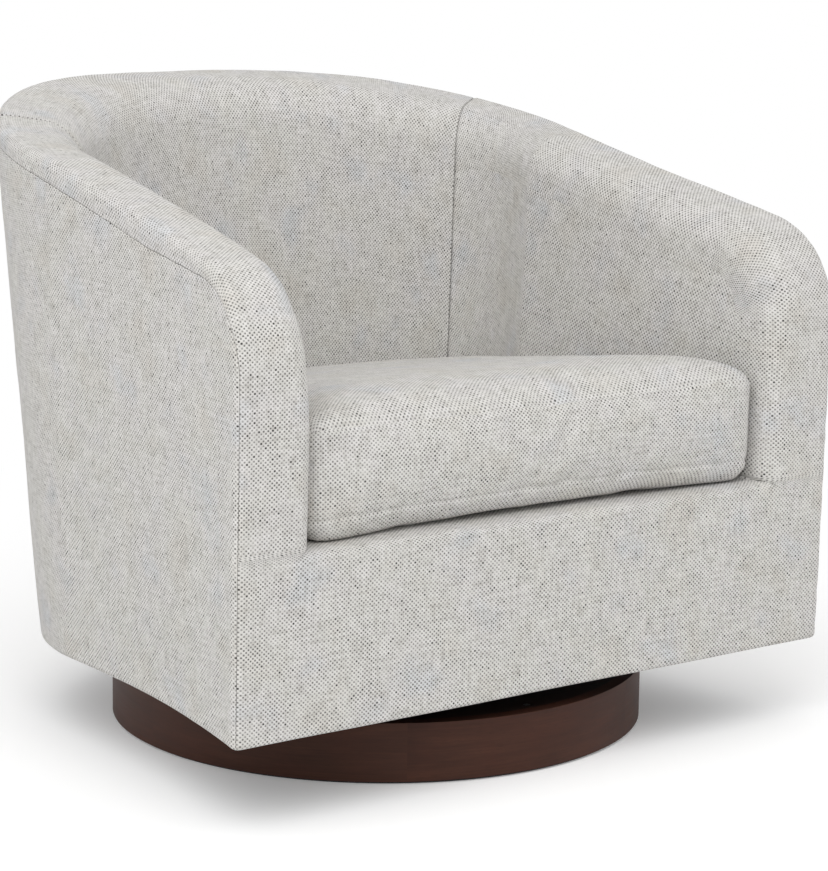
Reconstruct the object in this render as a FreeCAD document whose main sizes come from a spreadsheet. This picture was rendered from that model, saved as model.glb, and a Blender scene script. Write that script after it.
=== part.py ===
import FreeCAD, Part
import Sketcher
import math
import os

# Upholstered barrel armchair that swivels and rocks on a low round plinth.
# Millimetres, +Z up, the chair faces -Y, origin on the floor under the swivel axis.

Vector = FreeCAD.Vector

doc = FreeCAD.newDocument("SwivelRocker")
sheet = doc.addObject("Spreadsheet::Sheet", "Sizes")

DRIVING_SIZES = [
    # Plinth
    ("plinth_radius", 305, "outer radius of the veneered hoop"),
    ("plinth_top", 67.5, "height of the hoop's upper rim"),
    ("hoop_wall", 15, "bent plywood wall of the hoop"),
    ("board_recess", 1.5, "top board sits this far below the rim"),
    ("board_thick", 16, "plinth top board"),
    ("bottom_ring_thick", 12, "board ring at the foot of the hoop"),
    ("bottom_ring_inner", 225, "inner radius of that ring"),
    ("felt_height", 3, "felt ring that the plinth stands on"),
    ("felt_inner", 250, "inner radius of the felt ring"),
    ("felt_outer", 300, "outer radius of the felt ring"),
    ("block_count", 8, "glue blocks and board screws"),
    ("block_inner", 256, "inner face of a glue block"),
    ("block_outer", 288.5, "outer face of a glue block"),
    ("block_width", 40, "width of a glue block"),
    ("board_screw_ring", 275, "radius of the screws in the top board"),
    ("wood_screw_radius", 2, "shank of a board screw"),
    ("wood_screw_head", 4, "head radius of a board screw"),
    ("wood_screw_head_height", 2.2, "head height of a board screw"),
    ("wood_screw_length", 40, "shank length of a board screw"),
    # Swivel bearing
    ("swivel_plate", 140, "half width of the lower swivel plate"),
    ("plate_thick", 3, "both swivel plates"),
    ("plate_screw_place", 125, "screws of the lower plate, from the axis"),
    ("plate_screw_radius", 2.4, "shank of a plate screw"),
    ("plate_screw_head", 5, "head radius of a plate screw"),
    ("plate_screw_head_height", 2.5, "head height of a plate screw"),
    ("plate_screw_length", 15, "shank length below the plate"),
    ("race_radius", 92, "centre line of the balls"),
    ("race_width", 20, "width of both races"),
    ("race_height", 4, "height of each race"),
    ("ball_radius", 4.5, "bearing ball"),
    ("ball_count", 24, "bearing balls"),
    ("groove_play", 0.3, "radial room of a ball in its groove"),
    ("groove_floor", 1.3, "steel left under a groove"),
    ("cage_thick", 1.6, "pressed ring that spaces the balls"),
    ("cage_width", 16, "width of that ring"),
    ("king_radius", 6, "shank of the centre bolt"),
    ("king_head_radius", 11, "head of the centre bolt"),
    ("king_head_height", 6, "head of the centre bolt"),
    ("king_nut_height", 9, "nut of the centre bolt"),
    ("king_well_room", 5, "room round the centre bolt's head in the top board"),
    ("running_gap", 0.05, "radial play of a turning fit"),
    # Rocker mechanism
    ("upper_plate", 120, "half width of the upper swivel plate"),
    ("cradle_thick", 4, "steel of the rocker cradle"),
    ("cradle_cheek_x", 116, "inner face of a cradle cheek"),
    ("cradle_depth", 116, "half depth of the cradle base"),
    ("cheek_half", 32, "half width of a cheek at the pivot"),
    ("pivot_height", 150, "height of the rocking axis"),
    ("cheek_top", 164, "top of a cradle cheek"),
    ("cheek_foot", 8, "upright end of a cheek above the base"),
    ("pin_radius", 6, "pivot pin"),
    ("pin_head_radius", 11, "head of a pivot pin"),
    ("pin_head_height", 3.5, "head of a pivot pin"),
    ("bush_flange", 6, "flange of a pivot bush, the space beside a cheek"),
    ("bush_flange_radius", 14, "flange of a pivot bush"),
    ("bush_radius", 10, "barrel of a pivot bush"),
    ("bracket_thick", 4, "steel of a seat bracket"),
    ("bracket_half", 130, "half length of a seat bracket"),
    ("bracket_low", 130, "lower edge of a seat bracket"),
    ("bracket_flange", 42, "width of the bracket's top flange"),
    ("bolt_radius", 3, "machine bolts of the mechanism"),
    ("bolt_head", 5.5, "head and nut radius of those bolts"),
    ("bolt_head_height", 4, "head and nut height of those bolts"),
    ("cradle_bolt_x", 100, "cradle bolts"),
    ("cradle_bolt_y", 50, "cradle bolts"),
    ("spring_x", 58, "rocking springs, from the middle"),
    ("spring_y", 90, "rocking springs, from the rocking axis"),
    ("spring_mean_radius", 18, "coil radius of a rocking spring"),
    ("spring_wire", 2.5, "wire radius of a rocking spring"),
    ("spring_turns", 6, "turns of a rocking spring"),
    ("cup_radius", 24, "seat of a spring cup"),
    ("cup_thick", 2, "seat of a spring cup"),
    ("cup_boss", 13, "boss inside the spring"),
    ("cup_boss_height", 10, "boss inside the spring"),
    ("stop_radius", 9, "rubber stop inside a spring"),
    ("rock_angle", 3, "largest rock either way, in degrees"),
    ("stop_room", 0.5, "room left at the stop at the largest rock"),
    # Wooden seat frame
    ("rail_thick", 25, "hardwood rails of the seat box"),
    ("rail_room", 1, "room between the front rail and its padding"),
    ("rail_end_room", 0.5, "room between the front rail's ends and the arm frames"),
    ("box_half", 235, "outer half width of the seat box"),
    ("box_back", 260, "rear face of the seat box"),
    ("base_panel_thick", 18, "plywood bottom board of the shell"),
    ("base_hole", 188, "half size of the hole round the mechanism"),
    ("corner_block", 55, "legs of a corner block"),
    ("corner_block_height", 70, "corner blocks"),
    ("cross_rail_low", 194, "underside of the two cross rails"),
    ("cross_rail_thick", 22, "cross rails that carry the mechanism"),
    ("cross_rail_width", 64, "cross rails that carry the mechanism"),
    ("cleat_size", 20, "cleat under each end of a cross rail"),
    ("frame_ply", 18, "plywood of the arm and back frames"),
    ("deck_wire", 1.8, "wire radius of the zigzag seat springs"),
    ("deck_spring_count", 5, "zigzag seat springs"),
    ("deck_spring_pitch", 80, "distance between two seat springs"),
    ("zigzag_half", 22, "half width of a zigzag"),
    ("zigzag_runs", 22, "cross runs of a zigzag"),
    ("clip_width", 60, "spring clip"),
    ("clip_depth", 16, "spring clip"),
    ("clip_thick", 1.2, "spring clip"),
    # Shell, measured on its outside
    ("shell_bottom", 90, "underside of the upholstered shell"),
    ("shell_reference", 698, "height that the upper outline is given at"),
    ("front_low", 312, "front face ahead of the axis, at the bottom"),
    ("front_lean", 9, "how far the front face leans out, at the reference height"),
    ("front_half_width", 406, "half width at the front corners"),
    ("side_draw", 47, "how far the sides draw in behind the front corners, at the bottom"),
    ("side_lean", 25, "how far the sides lean out"),
    ("shoulder_low", 90, "where the side turns into the corner, at the bottom"),
    ("shoulder_shift", 45, "how far that place moves back, at the reference height"),
    ("corner_low", 230, "corner radius in plan, at the bottom"),
    ("corner_growth", 20, "growth of that radius"),
    ("back_low", 366.7, "rear of the shell behind the axis, at the bottom"),
    ("back_lean", 97.5, "how far the back leans out"),
    ("front_overrun", 36, "how far the plan outlines run past the front face"),
    ("arm_thick", 92, "thickness of an arm"),
    ("back_thick", 112, "thickness of the back"),
    ("arm_height", 567, "crest line of the arms, at the front face"),
    ("crest_rise", 0.2145, "slope of the crest line"),
    ("crest_knee", 405, "where the crest line turns level, behind the axis"),
    ("crest_knee_half", 60, "half length of that turn"),
    ("arm_front_radius", 125, "round of an arm's front, seen from the side"),
    ("inner_roll", 42, "round of the upholstery towards the seat"),
    ("outer_roll", 12, "round of the upholstery at the outer seam"),
    ("roll_depth", 26, "padding over the frame's top and front"),
    ("front_join_drop", 24, "front panel ends this far under the round of the arm's front"),
    ("panel_thick", 10, "outer panels"),
    ("layer_gap", 0.3, "room between two upholstered layers"),
    ("back_seam_angle", 38, "seam between arm and back, degrees from the side"),
    ("rail_crest", 283, "top of the front rail's upholstery and of the deck"),
    ("rail_crest_round", 10, "round of that edge"),
    ("deck_thick", 16, "felt and cloth deck under the cushion"),
    ("dust_cover_thick", 1.2, "cloth under the shell"),
    # Loose seat cushion
    ("cushion_front", 302, "front of the cushion ahead of the axis"),
    ("cushion_room", 2, "room between cushion and shell"),
    ("cushion_seam_low", 22, "lower seam above the cushion's underside"),
    ("cushion_seam_high", 115, "upper seam above the cushion's underside"),
    ("cushion_crown", 50, "crown above the upper seam"),
    ("cushion_corner", 38, "corner radius at the front"),
    ("cushion_foot", 12, "how far the boxing draws in at the underside"),
    ("cushion_foot_middle", 3, "how far it draws in halfway up to the lower seam"),
    ("cushion_seam_inset", 1, "how far the boxing draws in at its seams"),
    ("cushion_dome", 4, "flatness of the crown, a larger power is flatter"),
    ("cushion_shoulder", 0.6, "fullness of the crown's edge, a smaller power is fuller"),
]

for row, (alias, value, note) in enumerate(DRIVING_SIZES, start=1):
    sheet.set("A%d" % row, alias)
    sheet.set("B%d" % row, str(value))
    sheet.set("C%d" % row, note)
    sheet.setAlias("B%d" % row, alias)
doc.recompute()


class Dim:
    """A length with the sheet expression that gives it and its present value."""

    def __init__(self, text, value):
        self.text = text
        self.value = value

    def __add__(self, other):
        other = dim(other)
        return Dim("(%s + %s)" % (self.text, other.text), self.value + other.value)

    def __sub__(self, other):
        other = dim(other)
        return Dim("(%s - %s)" % (self.text, other.text), self.value - other.value)

    def __mul__(self, other):
        other = dim(other)
        return Dim("(%s * %s)" % (self.text, other.text), self.value * other.value)

    def __truediv__(self, other):
        other = dim(other)
        return Dim("(%s / %s)" % (self.text, other.text), self.value / other.value)

    def __neg__(self):
        return Dim("(-1 * %s)" % self.text, -self.value)


def dim(number):
    """Wrap a plain number so that it mixes with sizes from the sheet."""
    if isinstance(number, Dim):
        return number
    return Dim("%.9g" % number, float(number))


class Sizes:
    """Every driving size of the sheet, read back as a Dim."""

    def __init__(self):
        for alias, _, _ in DRIVING_SIZES:
            setattr(self, alias, Dim("Sizes." + alias, float(sheet.get(alias))))


s = Sizes()
ZERO = dim(0)
parts = []


def new_body(label):
    """A body that becomes one node."""
    body = doc.addObject("PartDesign::Body", label)
    body.Label = label
    parts.append(body)
    return body


def new_feature(label, shape):
    """A node whose form is computed from the sheet in code."""
    feature = doc.addObject("Part::Feature", label)
    feature.Label = label
    feature.Shape = shape
    parts.append(feature)
    return feature


def origin_plane(body, role):
    return [item for item in body.Origin.OriginFeatures if item.Role == role][0]


def place_point(sketch, geometry, point, x, y):
    """Fix one point of a sketch at (x, y); a zero puts it on the axis."""
    for kind, axis, size in (("DistanceX", -2, x), ("DistanceY", -1, y)):
        if size.text == ZERO.text:
            sketch.addConstraint(Sketcher.Constraint("PointOnObject", geometry, point, axis))
            continue
        index = sketch.addConstraint(Sketcher.Constraint(kind, -1, 1, geometry, point, size.value))
        sketch.setExpression("Constraints[%d]" % index, size.text)


def add_polygon(sketch, corners):
    """A closed outline of straight runs through the corners."""
    corners = [(dim(x), dim(y)) for x, y in corners]
    places = [Vector(x.value, y.value, 0) for x, y in corners]
    lines = []
    for index, start in enumerate(places):
        end = places[(index + 1) % len(places)]
        lines.append(sketch.addGeometry(Part.LineSegment(start, end), False))
    for index, line in enumerate(lines):
        following = lines[(index + 1) % len(lines)]
        sketch.addConstraint(Sketcher.Constraint("Coincident", line, 2, following, 1))
    for line, (x, y) in zip(lines, corners):
        place_point(sketch, line, 1, x, y)


def add_circle(sketch, x, y, radius):
    x, y, radius = dim(x), dim(y), dim(radius)
    circle = Part.Circle(Vector(x.value, y.value, 0), Vector(0, 0, 1), radius.value)
    index = sketch.addGeometry(circle, False)
    size = sketch.addConstraint(Sketcher.Constraint("Radius", index, radius.value))
    sketch.setExpression("Constraints[%d]" % size, radius.text)
    place_point(sketch, index, 3, x, y)


def rectangle(x0, x1, y0, y1):
    return ("polygon", [(x0, y0), (x1, y0), (x1, y1), (x0, y1)])


def circle(x, y, radius):
    return ("circle", (x, y, radius))


def polygon(*corners):
    return ("polygon", list(corners))


def new_sketch(body, name, role, offset, loops):
    """A sketch on one of the body's origin planes, raised by offset."""
    sketch = body.newObject("Sketcher::SketchObject", name)
    sketch.AttachmentSupport = (origin_plane(body, role), [""])
    sketch.MapMode = "FlatFace"
    offset = dim(offset)
    sketch.AttachmentOffset = FreeCAD.Placement(Vector(0, 0, offset.value), FreeCAD.Rotation())
    if offset.text != ZERO.text:
        sketch.setExpression("AttachmentOffset.Base.z", offset.text)
    for kind, data in loops:
        if kind == "circle":
            add_circle(sketch, *data)
        else:
            add_polygon(sketch, data)
    return sketch


def pad(body, name, loops, start, length, role="XY_Plane"):
    """Raise the outlines from start by length, along the plane's normal."""
    sketch = new_sketch(body, name + "_sketch", role, start, loops)
    feature = body.newObject("PartDesign::Pad", name)
    feature.Profile = sketch
    length = dim(length)
    feature.Length = length.value
    feature.setExpression("Length", length.text)
    body.Tip = feature
    return feature


def revolve(body, name, loops, role="XZ_Plane"):
    """Turn the outlines once about the plane's upright axis."""
    sketch = new_sketch(body, name + "_sketch", role, 0, loops)
    feature = body.newObject("PartDesign::Revolution", name)
    feature.Profile = sketch
    feature.ReferenceAxis = (sketch, ["V_Axis"])
    feature.Angle = 360
    body.Tip = feature
    return feature


def polar_copies(body, name, originals, count):
    """Repeat features evenly about the swivel axis."""
    pattern = body.newObject("PartDesign::PolarPattern", name)
    pattern.Originals = originals
    pattern.Axis = (originals[0].Profile[0], ["N_Axis"])
    pattern.Angle = 360
    pattern.Occurrences = int(count.value)
    pattern.setExpression("Occurrences", count.text)
    body.Tip = pattern
    return pattern


def four_places(x, y):
    """The same place in all four quarters."""
    x, y = dim(x), dim(y)
    return [(x, y), (-x, y), (-x, -y), (x, -y)]


def circles_at(places, radius):
    return [circle(x, y, radius) for x, y in places]


# Plinth

hoop_foot = s.felt_height
board_top = s.plinth_top - s.board_recess
board_low = board_top - s.board_thick
hoop_inner = s.plinth_radius - s.hoop_wall
ring_top = hoop_foot + s.bottom_ring_thick
plate_screw_places = four_places(s.plate_screw_place, s.plate_screw_place)

hoop = new_body("plinth_hoop")
pad(hoop, "hoop_wall_pad", [circle(0, 0, s.plinth_radius), circle(0, 0, hoop_inner)],
    hoop_foot, s.plinth_top - hoop_foot)

ring = new_body("plinth_bottom_ring")
pad(ring, "ring_pad", [circle(0, 0, hoop_inner), circle(0, 0, s.bottom_ring_inner)],
    hoop_foot, s.bottom_ring_thick)


def around_axis(radius):
    """Places of the glue blocks' screws, evenly about the axis."""
    count = int(s.block_count.value)
    turns = [2 * math.pi * index / count for index in range(count)]
    return [(radius * math.cos(turn), radius * math.sin(turn)) for turn in turns]


screw_places = around_axis(s.board_screw_ring)
screw_head_low = board_top - s.wood_screw_head_height
king_well = s.king_head_radius + s.king_well_room

top_board = new_body("plinth_top_board")
pad(top_board, "board_lower_pad",
    [circle(0, 0, hoop_inner), circle(0, 0, king_well)]
    + circles_at(screw_places, s.wood_screw_radius)
    + circles_at(plate_screw_places, s.plate_screw_radius),
    board_low, screw_head_low - board_low)
pad(top_board, "board_upper_pad",
    [circle(0, 0, hoop_inner), circle(0, 0, king_well)]
    + circles_at(screw_places, s.wood_screw_head)
    + circles_at(plate_screw_places, s.plate_screw_radius),
    screw_head_low, s.wood_screw_head_height)

blocks = new_body("plinth_glue_blocks")
first_block = pad(blocks, "block_pad",
                  [rectangle(s.block_inner, s.block_outer, -s.block_width / 2, s.block_width / 2),
                   circle(s.board_screw_ring, 0, s.wood_screw_radius)],
                  ring_top, board_low - ring_top)
polar_copies(blocks, "block_pattern", [first_block], s.block_count)

felt = new_body("plinth_felt_ring")
pad(felt, "felt_pad", [circle(0, 0, s.felt_outer), circle(0, 0, s.felt_inner)], 0, s.felt_height)

board_screws = new_body("top_board_screws")
pad(board_screws, "board_screw_shank", circles_at(screw_places, s.wood_screw_radius),
    screw_head_low - s.wood_screw_length, s.wood_screw_length)
pad(board_screws, "board_screw_head", circles_at(screw_places, s.wood_screw_head),
    screw_head_low, s.wood_screw_head_height)

# Swivel bearing

plate_top = board_top + s.plate_thick
ball_height = plate_top + s.groove_floor + s.groove_play + s.ball_radius
groove_radius = s.ball_radius + s.groove_play
race_inner = s.race_radius - s.race_width / 2
race_outer = s.race_radius + s.race_width / 2
upper_plate_low = ball_height + (ball_height - plate_top)
upper_plate_top = upper_plate_low + s.plate_thick

lower_plate = new_body("lower_swivel_plate")
pad(lower_plate, "lower_plate_pad",
    [rectangle(-s.swivel_plate, s.swivel_plate, -s.swivel_plate, s.swivel_plate),
     circle(0, 0, s.king_radius + s.running_gap)]
    + circles_at(plate_screw_places, s.plate_screw_radius),
    board_top, s.plate_thick)

plate_screws = new_body("lower_plate_screws")
pad(plate_screws, "plate_screw_shank", circles_at(plate_screw_places, s.plate_screw_radius),
    board_top - s.plate_screw_length, s.plate_screw_length + s.plate_thick)
pad(plate_screws, "plate_screw_head", circles_at(plate_screw_places, s.plate_screw_head),
    plate_top, s.plate_screw_head_height)


def race(label, low):
    """A steel ring with a round groove for the balls."""
    body = new_body(label)
    revolve(body, label + "_ring",
            [rectangle(race_inner, race_outer, low, low + s.race_height)])
    sketch = new_sketch(body, label + "_groove_sketch", "XZ_Plane", 0,
                        [circle(s.race_radius, ball_height, groove_radius)])
    groove = body.newObject("PartDesign::Groove", label + "_groove")
    groove.Profile = sketch
    groove.ReferenceAxis = (sketch, ["V_Axis"])
    groove.Angle = 360
    body.Tip = groove


race("lower_race", plate_top)
race("upper_race", upper_plate_low - s.race_height)

cage = new_body("ball_cage")
cage_low = ball_height - s.cage_thick / 2
pad(cage, "cage_ring",
    [circle(0, 0, s.race_radius + s.cage_width / 2), circle(0, 0, s.race_radius - s.cage_width / 2)],
    cage_low, s.cage_thick)
pocket_sketch = new_sketch(cage, "cage_window_sketch", "XY_Plane", cage_low,
                           [circle(s.race_radius, 0, groove_radius)])
cage_window = cage.newObject("PartDesign::Pocket", "cage_window")
cage_window.Profile = pocket_sketch
cage_window.Reversed = True
cage_window.Length = s.cage_thick.value
cage_window.setExpression("Length", s.cage_thick.text)
polar_copies(cage, "cage_windows", [cage_window], s.ball_count)


def bearing_balls():
    """Steel balls, evenly spaced between the races."""
    count = int(s.ball_count.value)
    place = Vector(s.race_radius.value, 0, ball_height.value)
    ball = Part.makeSphere(s.ball_radius.value, place)
    balls = []
    for index in range(count):
        copy = ball.copy()
        copy.rotate(Vector(0, 0, 0), Vector(0, 0, 1), 360.0 * index / count)
        balls.append(copy)
    return Part.makeCompound(balls)


new_feature("bearing_balls", bearing_balls())

# Turntable and rocker cradle

cradle_low = upper_plate_top
cradle_top = cradle_low + s.cradle_thick
cheek_outer = s.cradle_cheek_x + s.cradle_thick
cradle_bolt_places = four_places(s.cradle_bolt_x, s.cradle_bolt_y)
spring_places = four_places(s.spring_x, s.spring_y)

upper_plate = new_body("upper_swivel_plate")
pad(upper_plate, "upper_plate_pad",
    [rectangle(-s.upper_plate, s.upper_plate, -s.upper_plate, s.upper_plate),
     circle(0, 0, s.king_radius)]
    + circles_at(cradle_bolt_places, s.bolt_radius),
    upper_plate_low, s.plate_thick)

cradle = new_body("rocker_cradle")
pad(cradle, "cradle_base",
    [rectangle(-cheek_outer, cheek_outer, -s.cradle_depth, s.cradle_depth), circle(0, 0, s.king_radius)]
    + circles_at(cradle_bolt_places, s.bolt_radius),
    cradle_low, s.cradle_thick)
for side, start in (("right", s.cradle_cheek_x), ("left", -cheek_outer)):
    cheek_outline = polygon((-s.cradle_depth, cradle_low), (s.cradle_depth, cradle_low),
                            (s.cradle_depth, cradle_top + s.cheek_foot), (s.cheek_half, s.cheek_top),
                            (-s.cheek_half, s.cheek_top), (-s.cradle_depth, cradle_top + s.cheek_foot))
    pad(cradle, "cheek_" + side, [cheek_outline, circle(0, s.pivot_height, s.pin_radius)],
        start, s.cradle_thick, "YZ_Plane")

cradle_bolts = new_body("cradle_bolts")
pad(cradle_bolts, "cradle_bolt_shank", circles_at(cradle_bolt_places, s.bolt_radius),
    upper_plate_low - s.bolt_head_height, cradle_top - upper_plate_low + s.bolt_head_height)
pad(cradle_bolts, "cradle_bolt_head", circles_at(cradle_bolt_places, s.bolt_head),
    cradle_top, s.bolt_head_height)

cradle_nuts = new_body("cradle_nuts")
pad(cradle_nuts, "cradle_nut_pad",
    circles_at(cradle_bolt_places, s.bolt_head) + circles_at(cradle_bolt_places, s.bolt_radius),
    upper_plate_low - s.bolt_head_height, s.bolt_head_height)

king_bolt = new_body("king_bolt")
pad(king_bolt, "king_head", [circle(0, 0, s.king_head_radius)],
    board_top - s.running_gap - s.king_head_height, s.king_head_height)
pad(king_bolt, "king_shank", [circle(0, 0, s.king_radius)],
    board_top - s.running_gap, cradle_top - board_top + s.running_gap + s.king_nut_height)

king_nut = new_body("king_nut")
pad(king_nut, "king_nut_pad", [circle(0, 0, s.king_head_radius), circle(0, 0, s.king_radius)],
    cradle_top, s.king_nut_height)

# Pivots

bush_start = cheek_outer + s.layer_gap
web_inner = bush_start + s.bush_flange
web_outer = web_inner + s.bracket_thick
pin_end = web_outer + s.layer_gap

pins = new_body("pivot_pins")
bushes = new_body("pivot_bushes")
for side, sign in (("right", 1), ("left", -1)):

    def along(start, length):
        """Start of a run along X that is mirrored to the other side."""
        return start if sign > 0 else -(start + length)

    pin_start = s.cradle_cheek_x - s.pin_head_height
    pin_length = pin_end - pin_start
    pad(pins, "pin_shank_" + side, [circle(0, s.pivot_height, s.pin_radius)],
        along(pin_start, pin_length), pin_length, "YZ_Plane")
    pad(pins, "pin_rivet_" + side, [circle(0, s.pivot_height, s.bush_radius)],
        along(pin_start, s.pin_head_height), s.pin_head_height, "YZ_Plane")
    pad(pins, "pin_head_" + side, [circle(0, s.pivot_height, s.pin_head_radius)],
        along(pin_end, s.pin_head_height), s.pin_head_height, "YZ_Plane")
    bore = circle(0, s.pivot_height, s.pin_radius + s.running_gap)
    pad(bushes, "bush_flange_" + side, [circle(0, s.pivot_height, s.bush_flange_radius), bore],
        along(bush_start, s.bush_flange), s.bush_flange, "YZ_Plane")
    pad(bushes, "bush_barrel_" + side, [circle(0, s.pivot_height, s.bush_radius), bore],
        along(web_inner, s.bracket_thick), s.bracket_thick, "YZ_Plane")

flange_low = s.cross_rail_low - s.bracket_thick
flange_end = web_inner + s.bracket_flange
bracket_bolt_x = web_outer + (flange_end - web_outer) / 2
bracket_bolt_places = four_places(bracket_bolt_x, s.spring_y)
for side, sign in (("right", 1), ("left", -1)):
    bracket = new_body("seat_bracket_" + side)
    web_start = web_inner if sign > 0 else -web_outer
    pad(bracket, "web_" + side,
        [rectangle(-s.bracket_half, s.bracket_half, s.bracket_low, s.cross_rail_low),
         circle(0, s.pivot_height, s.bush_radius)],
        web_start, s.bracket_thick, "YZ_Plane")
    near = web_inner if sign > 0 else -flange_end
    far = flange_end if sign > 0 else -web_inner
    bolt_x = bracket_bolt_x if sign > 0 else -bracket_bolt_x
    pad(bracket, "flange_" + side,
        [rectangle(near, far, -s.bracket_half, s.bracket_half),
         circle(bolt_x, s.spring_y, s.bolt_radius), circle(bolt_x, -s.spring_y, s.bolt_radius)],
        flange_low, s.bracket_thick)

# Rocking springs, their cups and the rubber stops

spring_low = cradle_top + s.cup_thick
spring_high = s.cross_rail_low - s.cup_thick
boss_low_top = spring_low + s.cup_boss_height
boss_high_low = spring_high - s.cup_boss_height
rock_radians = math.radians(s.rock_angle.value)
stop_travel = (s.spring_y + s.stop_radius) * math.sin(rock_radians) + s.stop_room

lower_cups = new_body("lower_spring_cups")
pad(lower_cups, "lower_cup_seat", circles_at(spring_places, s.cup_radius), cradle_top, s.cup_thick)
pad(lower_cups, "lower_cup_boss", circles_at(spring_places, s.cup_boss), spring_low, s.cup_boss_height)

upper_cups = new_body("upper_spring_cups")
pad(upper_cups, "upper_cup_seat", circles_at(spring_places, s.cup_radius), spring_high, s.cup_thick)
pad(upper_cups, "upper_cup_boss", circles_at(spring_places, s.cup_boss), boss_high_low, s.cup_boss_height)

stops = new_body("rock_stops")
pad(stops, "stop_pad", circles_at(spring_places, s.stop_radius),
    boss_low_top, boss_high_low - boss_low_top - stop_travel)


QUARTERS = 4


def biarc(start, start_way, end, end_way):
    """Two tangent arcs from start to end that keep both directions."""
    chord = end - start
    ways = start_way + end_way
    spread = 2 * (1 - start_way.dot(end_way))
    reach = (-chord.dot(ways) + math.sqrt(chord.dot(ways) ** 2 + spread * chord.dot(chord))) / spread
    first_pole = start + start_way * reach
    second_pole = end - end_way * reach
    joint = (first_pole + second_pole) * 0.5
    return [arc_under(start, first_pole, joint), arc_under(joint, second_pole, end)]


def arc_under(start, pole, end):
    """The arc that touches both lines from the pole."""
    middle = (start + end) * 0.5
    height = (pole - middle).Length
    half_chord = (end - start).Length / 2
    rise = half_chord * math.tan(math.atan2(height, half_chord) / 2)
    crown = middle + (pole - middle) * (rise / height)
    return Part.Arc(start, crown, end).toShape()


def coil(radius, low, high, turns, wire):
    """An unbroken coil spring about the Z axis, from low to high."""
    climb = high - low - 2 * wire
    steps = int(round(turns * QUARTERS))
    rise = climb / (2 * math.pi * turns)
    places = []
    for index in range(steps + 1):
        turn = 2 * math.pi * turns * index / steps
        place = Vector(radius * math.cos(turn), radius * math.sin(turn), low + wire + rise * turn)
        way = Vector(-radius * math.sin(turn), radius * math.cos(turn), rise)
        places.append((place, way.normalize()))
    edges = []
    for (start, start_way), (end, end_way) in zip(places, places[1:]):
        edges += biarc(start, start_way, end, end_way)
    ring = Part.Wire([Part.Circle(places[0][0], places[0][1], wire).toShape()])
    tube = Part.Wire(edges).makePipeShell([ring], True, False)
    pitch = climb / turns
    print("coil gap between turns %.2f" % (pitch - 2 * wire))
    return tube


one_coil = coil(s.spring_mean_radius.value, spring_low.value, spring_high.value,
                s.spring_turns.value, s.spring_wire.value)
SPRING_NAMES = ("rear_right", "rear_left", "front_left", "front_right")
for name, (x, y) in zip(SPRING_NAMES, spring_places):
    spring = new_feature("rocker_spring_" + name, one_coil)
    spring.Placement = FreeCAD.Placement(Vector(x.value, y.value, 0), FreeCAD.Rotation())

# Shell outlines and cutting forms

WIDE = 700.0
TALL = 900.0
WEDGE_REACH = 2800.0
ON_SURFACE = 0.01


def line(start, end):
    return Part.LineSegment(start, end).toShape()


def arc(start, middle, end):
    return Part.Arc(start, middle, end).toShape()


def shell_share(height):
    """How far a height is from the shell's underside to the reference height."""
    return (height - s.shell_bottom.value) / (s.shell_reference.value - s.shell_bottom.value)


def side_arc(front_x, front_y, rear_x, rear_y):
    """Half width at any y of a side that spreads forwards from its rear point."""
    splay = front_x - rear_x
    radius = (splay ** 2 + (rear_y - front_y) ** 2) / (2 * splay)

    def half_width(y):
        return rear_x + radius - math.sqrt(radius ** 2 - (rear_y - y) ** 2)

    return half_width


def shell_outline(height, side_inset, back_inset):
    """Plan outline of the shell at a height, drawn in by the two insets.

    The side is an arc that runs tangent into the corner arc, and one wide arc
    joins the two corner arcs behind. The front runs past the front face, which
    the side profile cuts.
    """
    share = shell_share(height)
    front_y = -s.front_low.value - s.front_lean.value * share
    front_x = s.front_half_width.value - side_inset
    half_x = front_x - s.side_draw.value + s.side_lean.value * share
    shoulder = s.shoulder_low.value + s.shoulder_shift.value * share
    corner = s.corner_low.value + s.corner_growth.value * share - back_inset
    back_y = s.back_low.value + s.back_lean.value * share - back_inset
    side_x = side_arc(front_x, front_y, half_x, shoulder)
    corner_x = half_x - corner
    behind = shoulder - back_y
    back_radius = (corner_x ** 2 + behind ** 2 - corner ** 2) / (-2 * behind - 2 * corner)
    sweep = math.atan2(shoulder - back_y + back_radius, corner_x)

    def on_corner(turn):
        return Vector(corner_x + corner * math.cos(turn), shoulder + corner * math.sin(turn), height)

    past_front = -s.front_low.value - s.front_overrun.value
    front = Vector(side_x(past_front), past_front, height)
    halfway = (shoulder + past_front) / 2
    side_middle = Vector(side_x(halfway), halfway, height)
    shoulder_point = Vector(half_x, shoulder, height)

    def mirrored(point):
        return Vector(-point.x, point.y, point.z)

    joint = on_corner(sweep)
    return Part.Wire([
        line(mirrored(front), front),
        arc(front, side_middle, shoulder_point),
        arc(shoulder_point, on_corner(sweep / 2), joint),
        arc(joint, Vector(0, back_y, height), mirrored(joint)),
        arc(mirrored(joint), mirrored(on_corner(sweep / 2)), mirrored(shoulder_point)),
        arc(mirrored(shoulder_point), mirrored(side_middle), mirrored(front)),
    ])


def drum(side_inset=0.0, back_inset=None, low=None, high=TALL):
    """Solid inside the shell's outer face, drawn in by an inset."""
    if back_inset is None:
        back_inset = side_inset
    if low is None:
        low = s.shell_bottom.value
    outlines = [shell_outline(height, side_inset, back_inset) for height in (low, high)]
    return Part.makeLoft(outlines, True, True)


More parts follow.
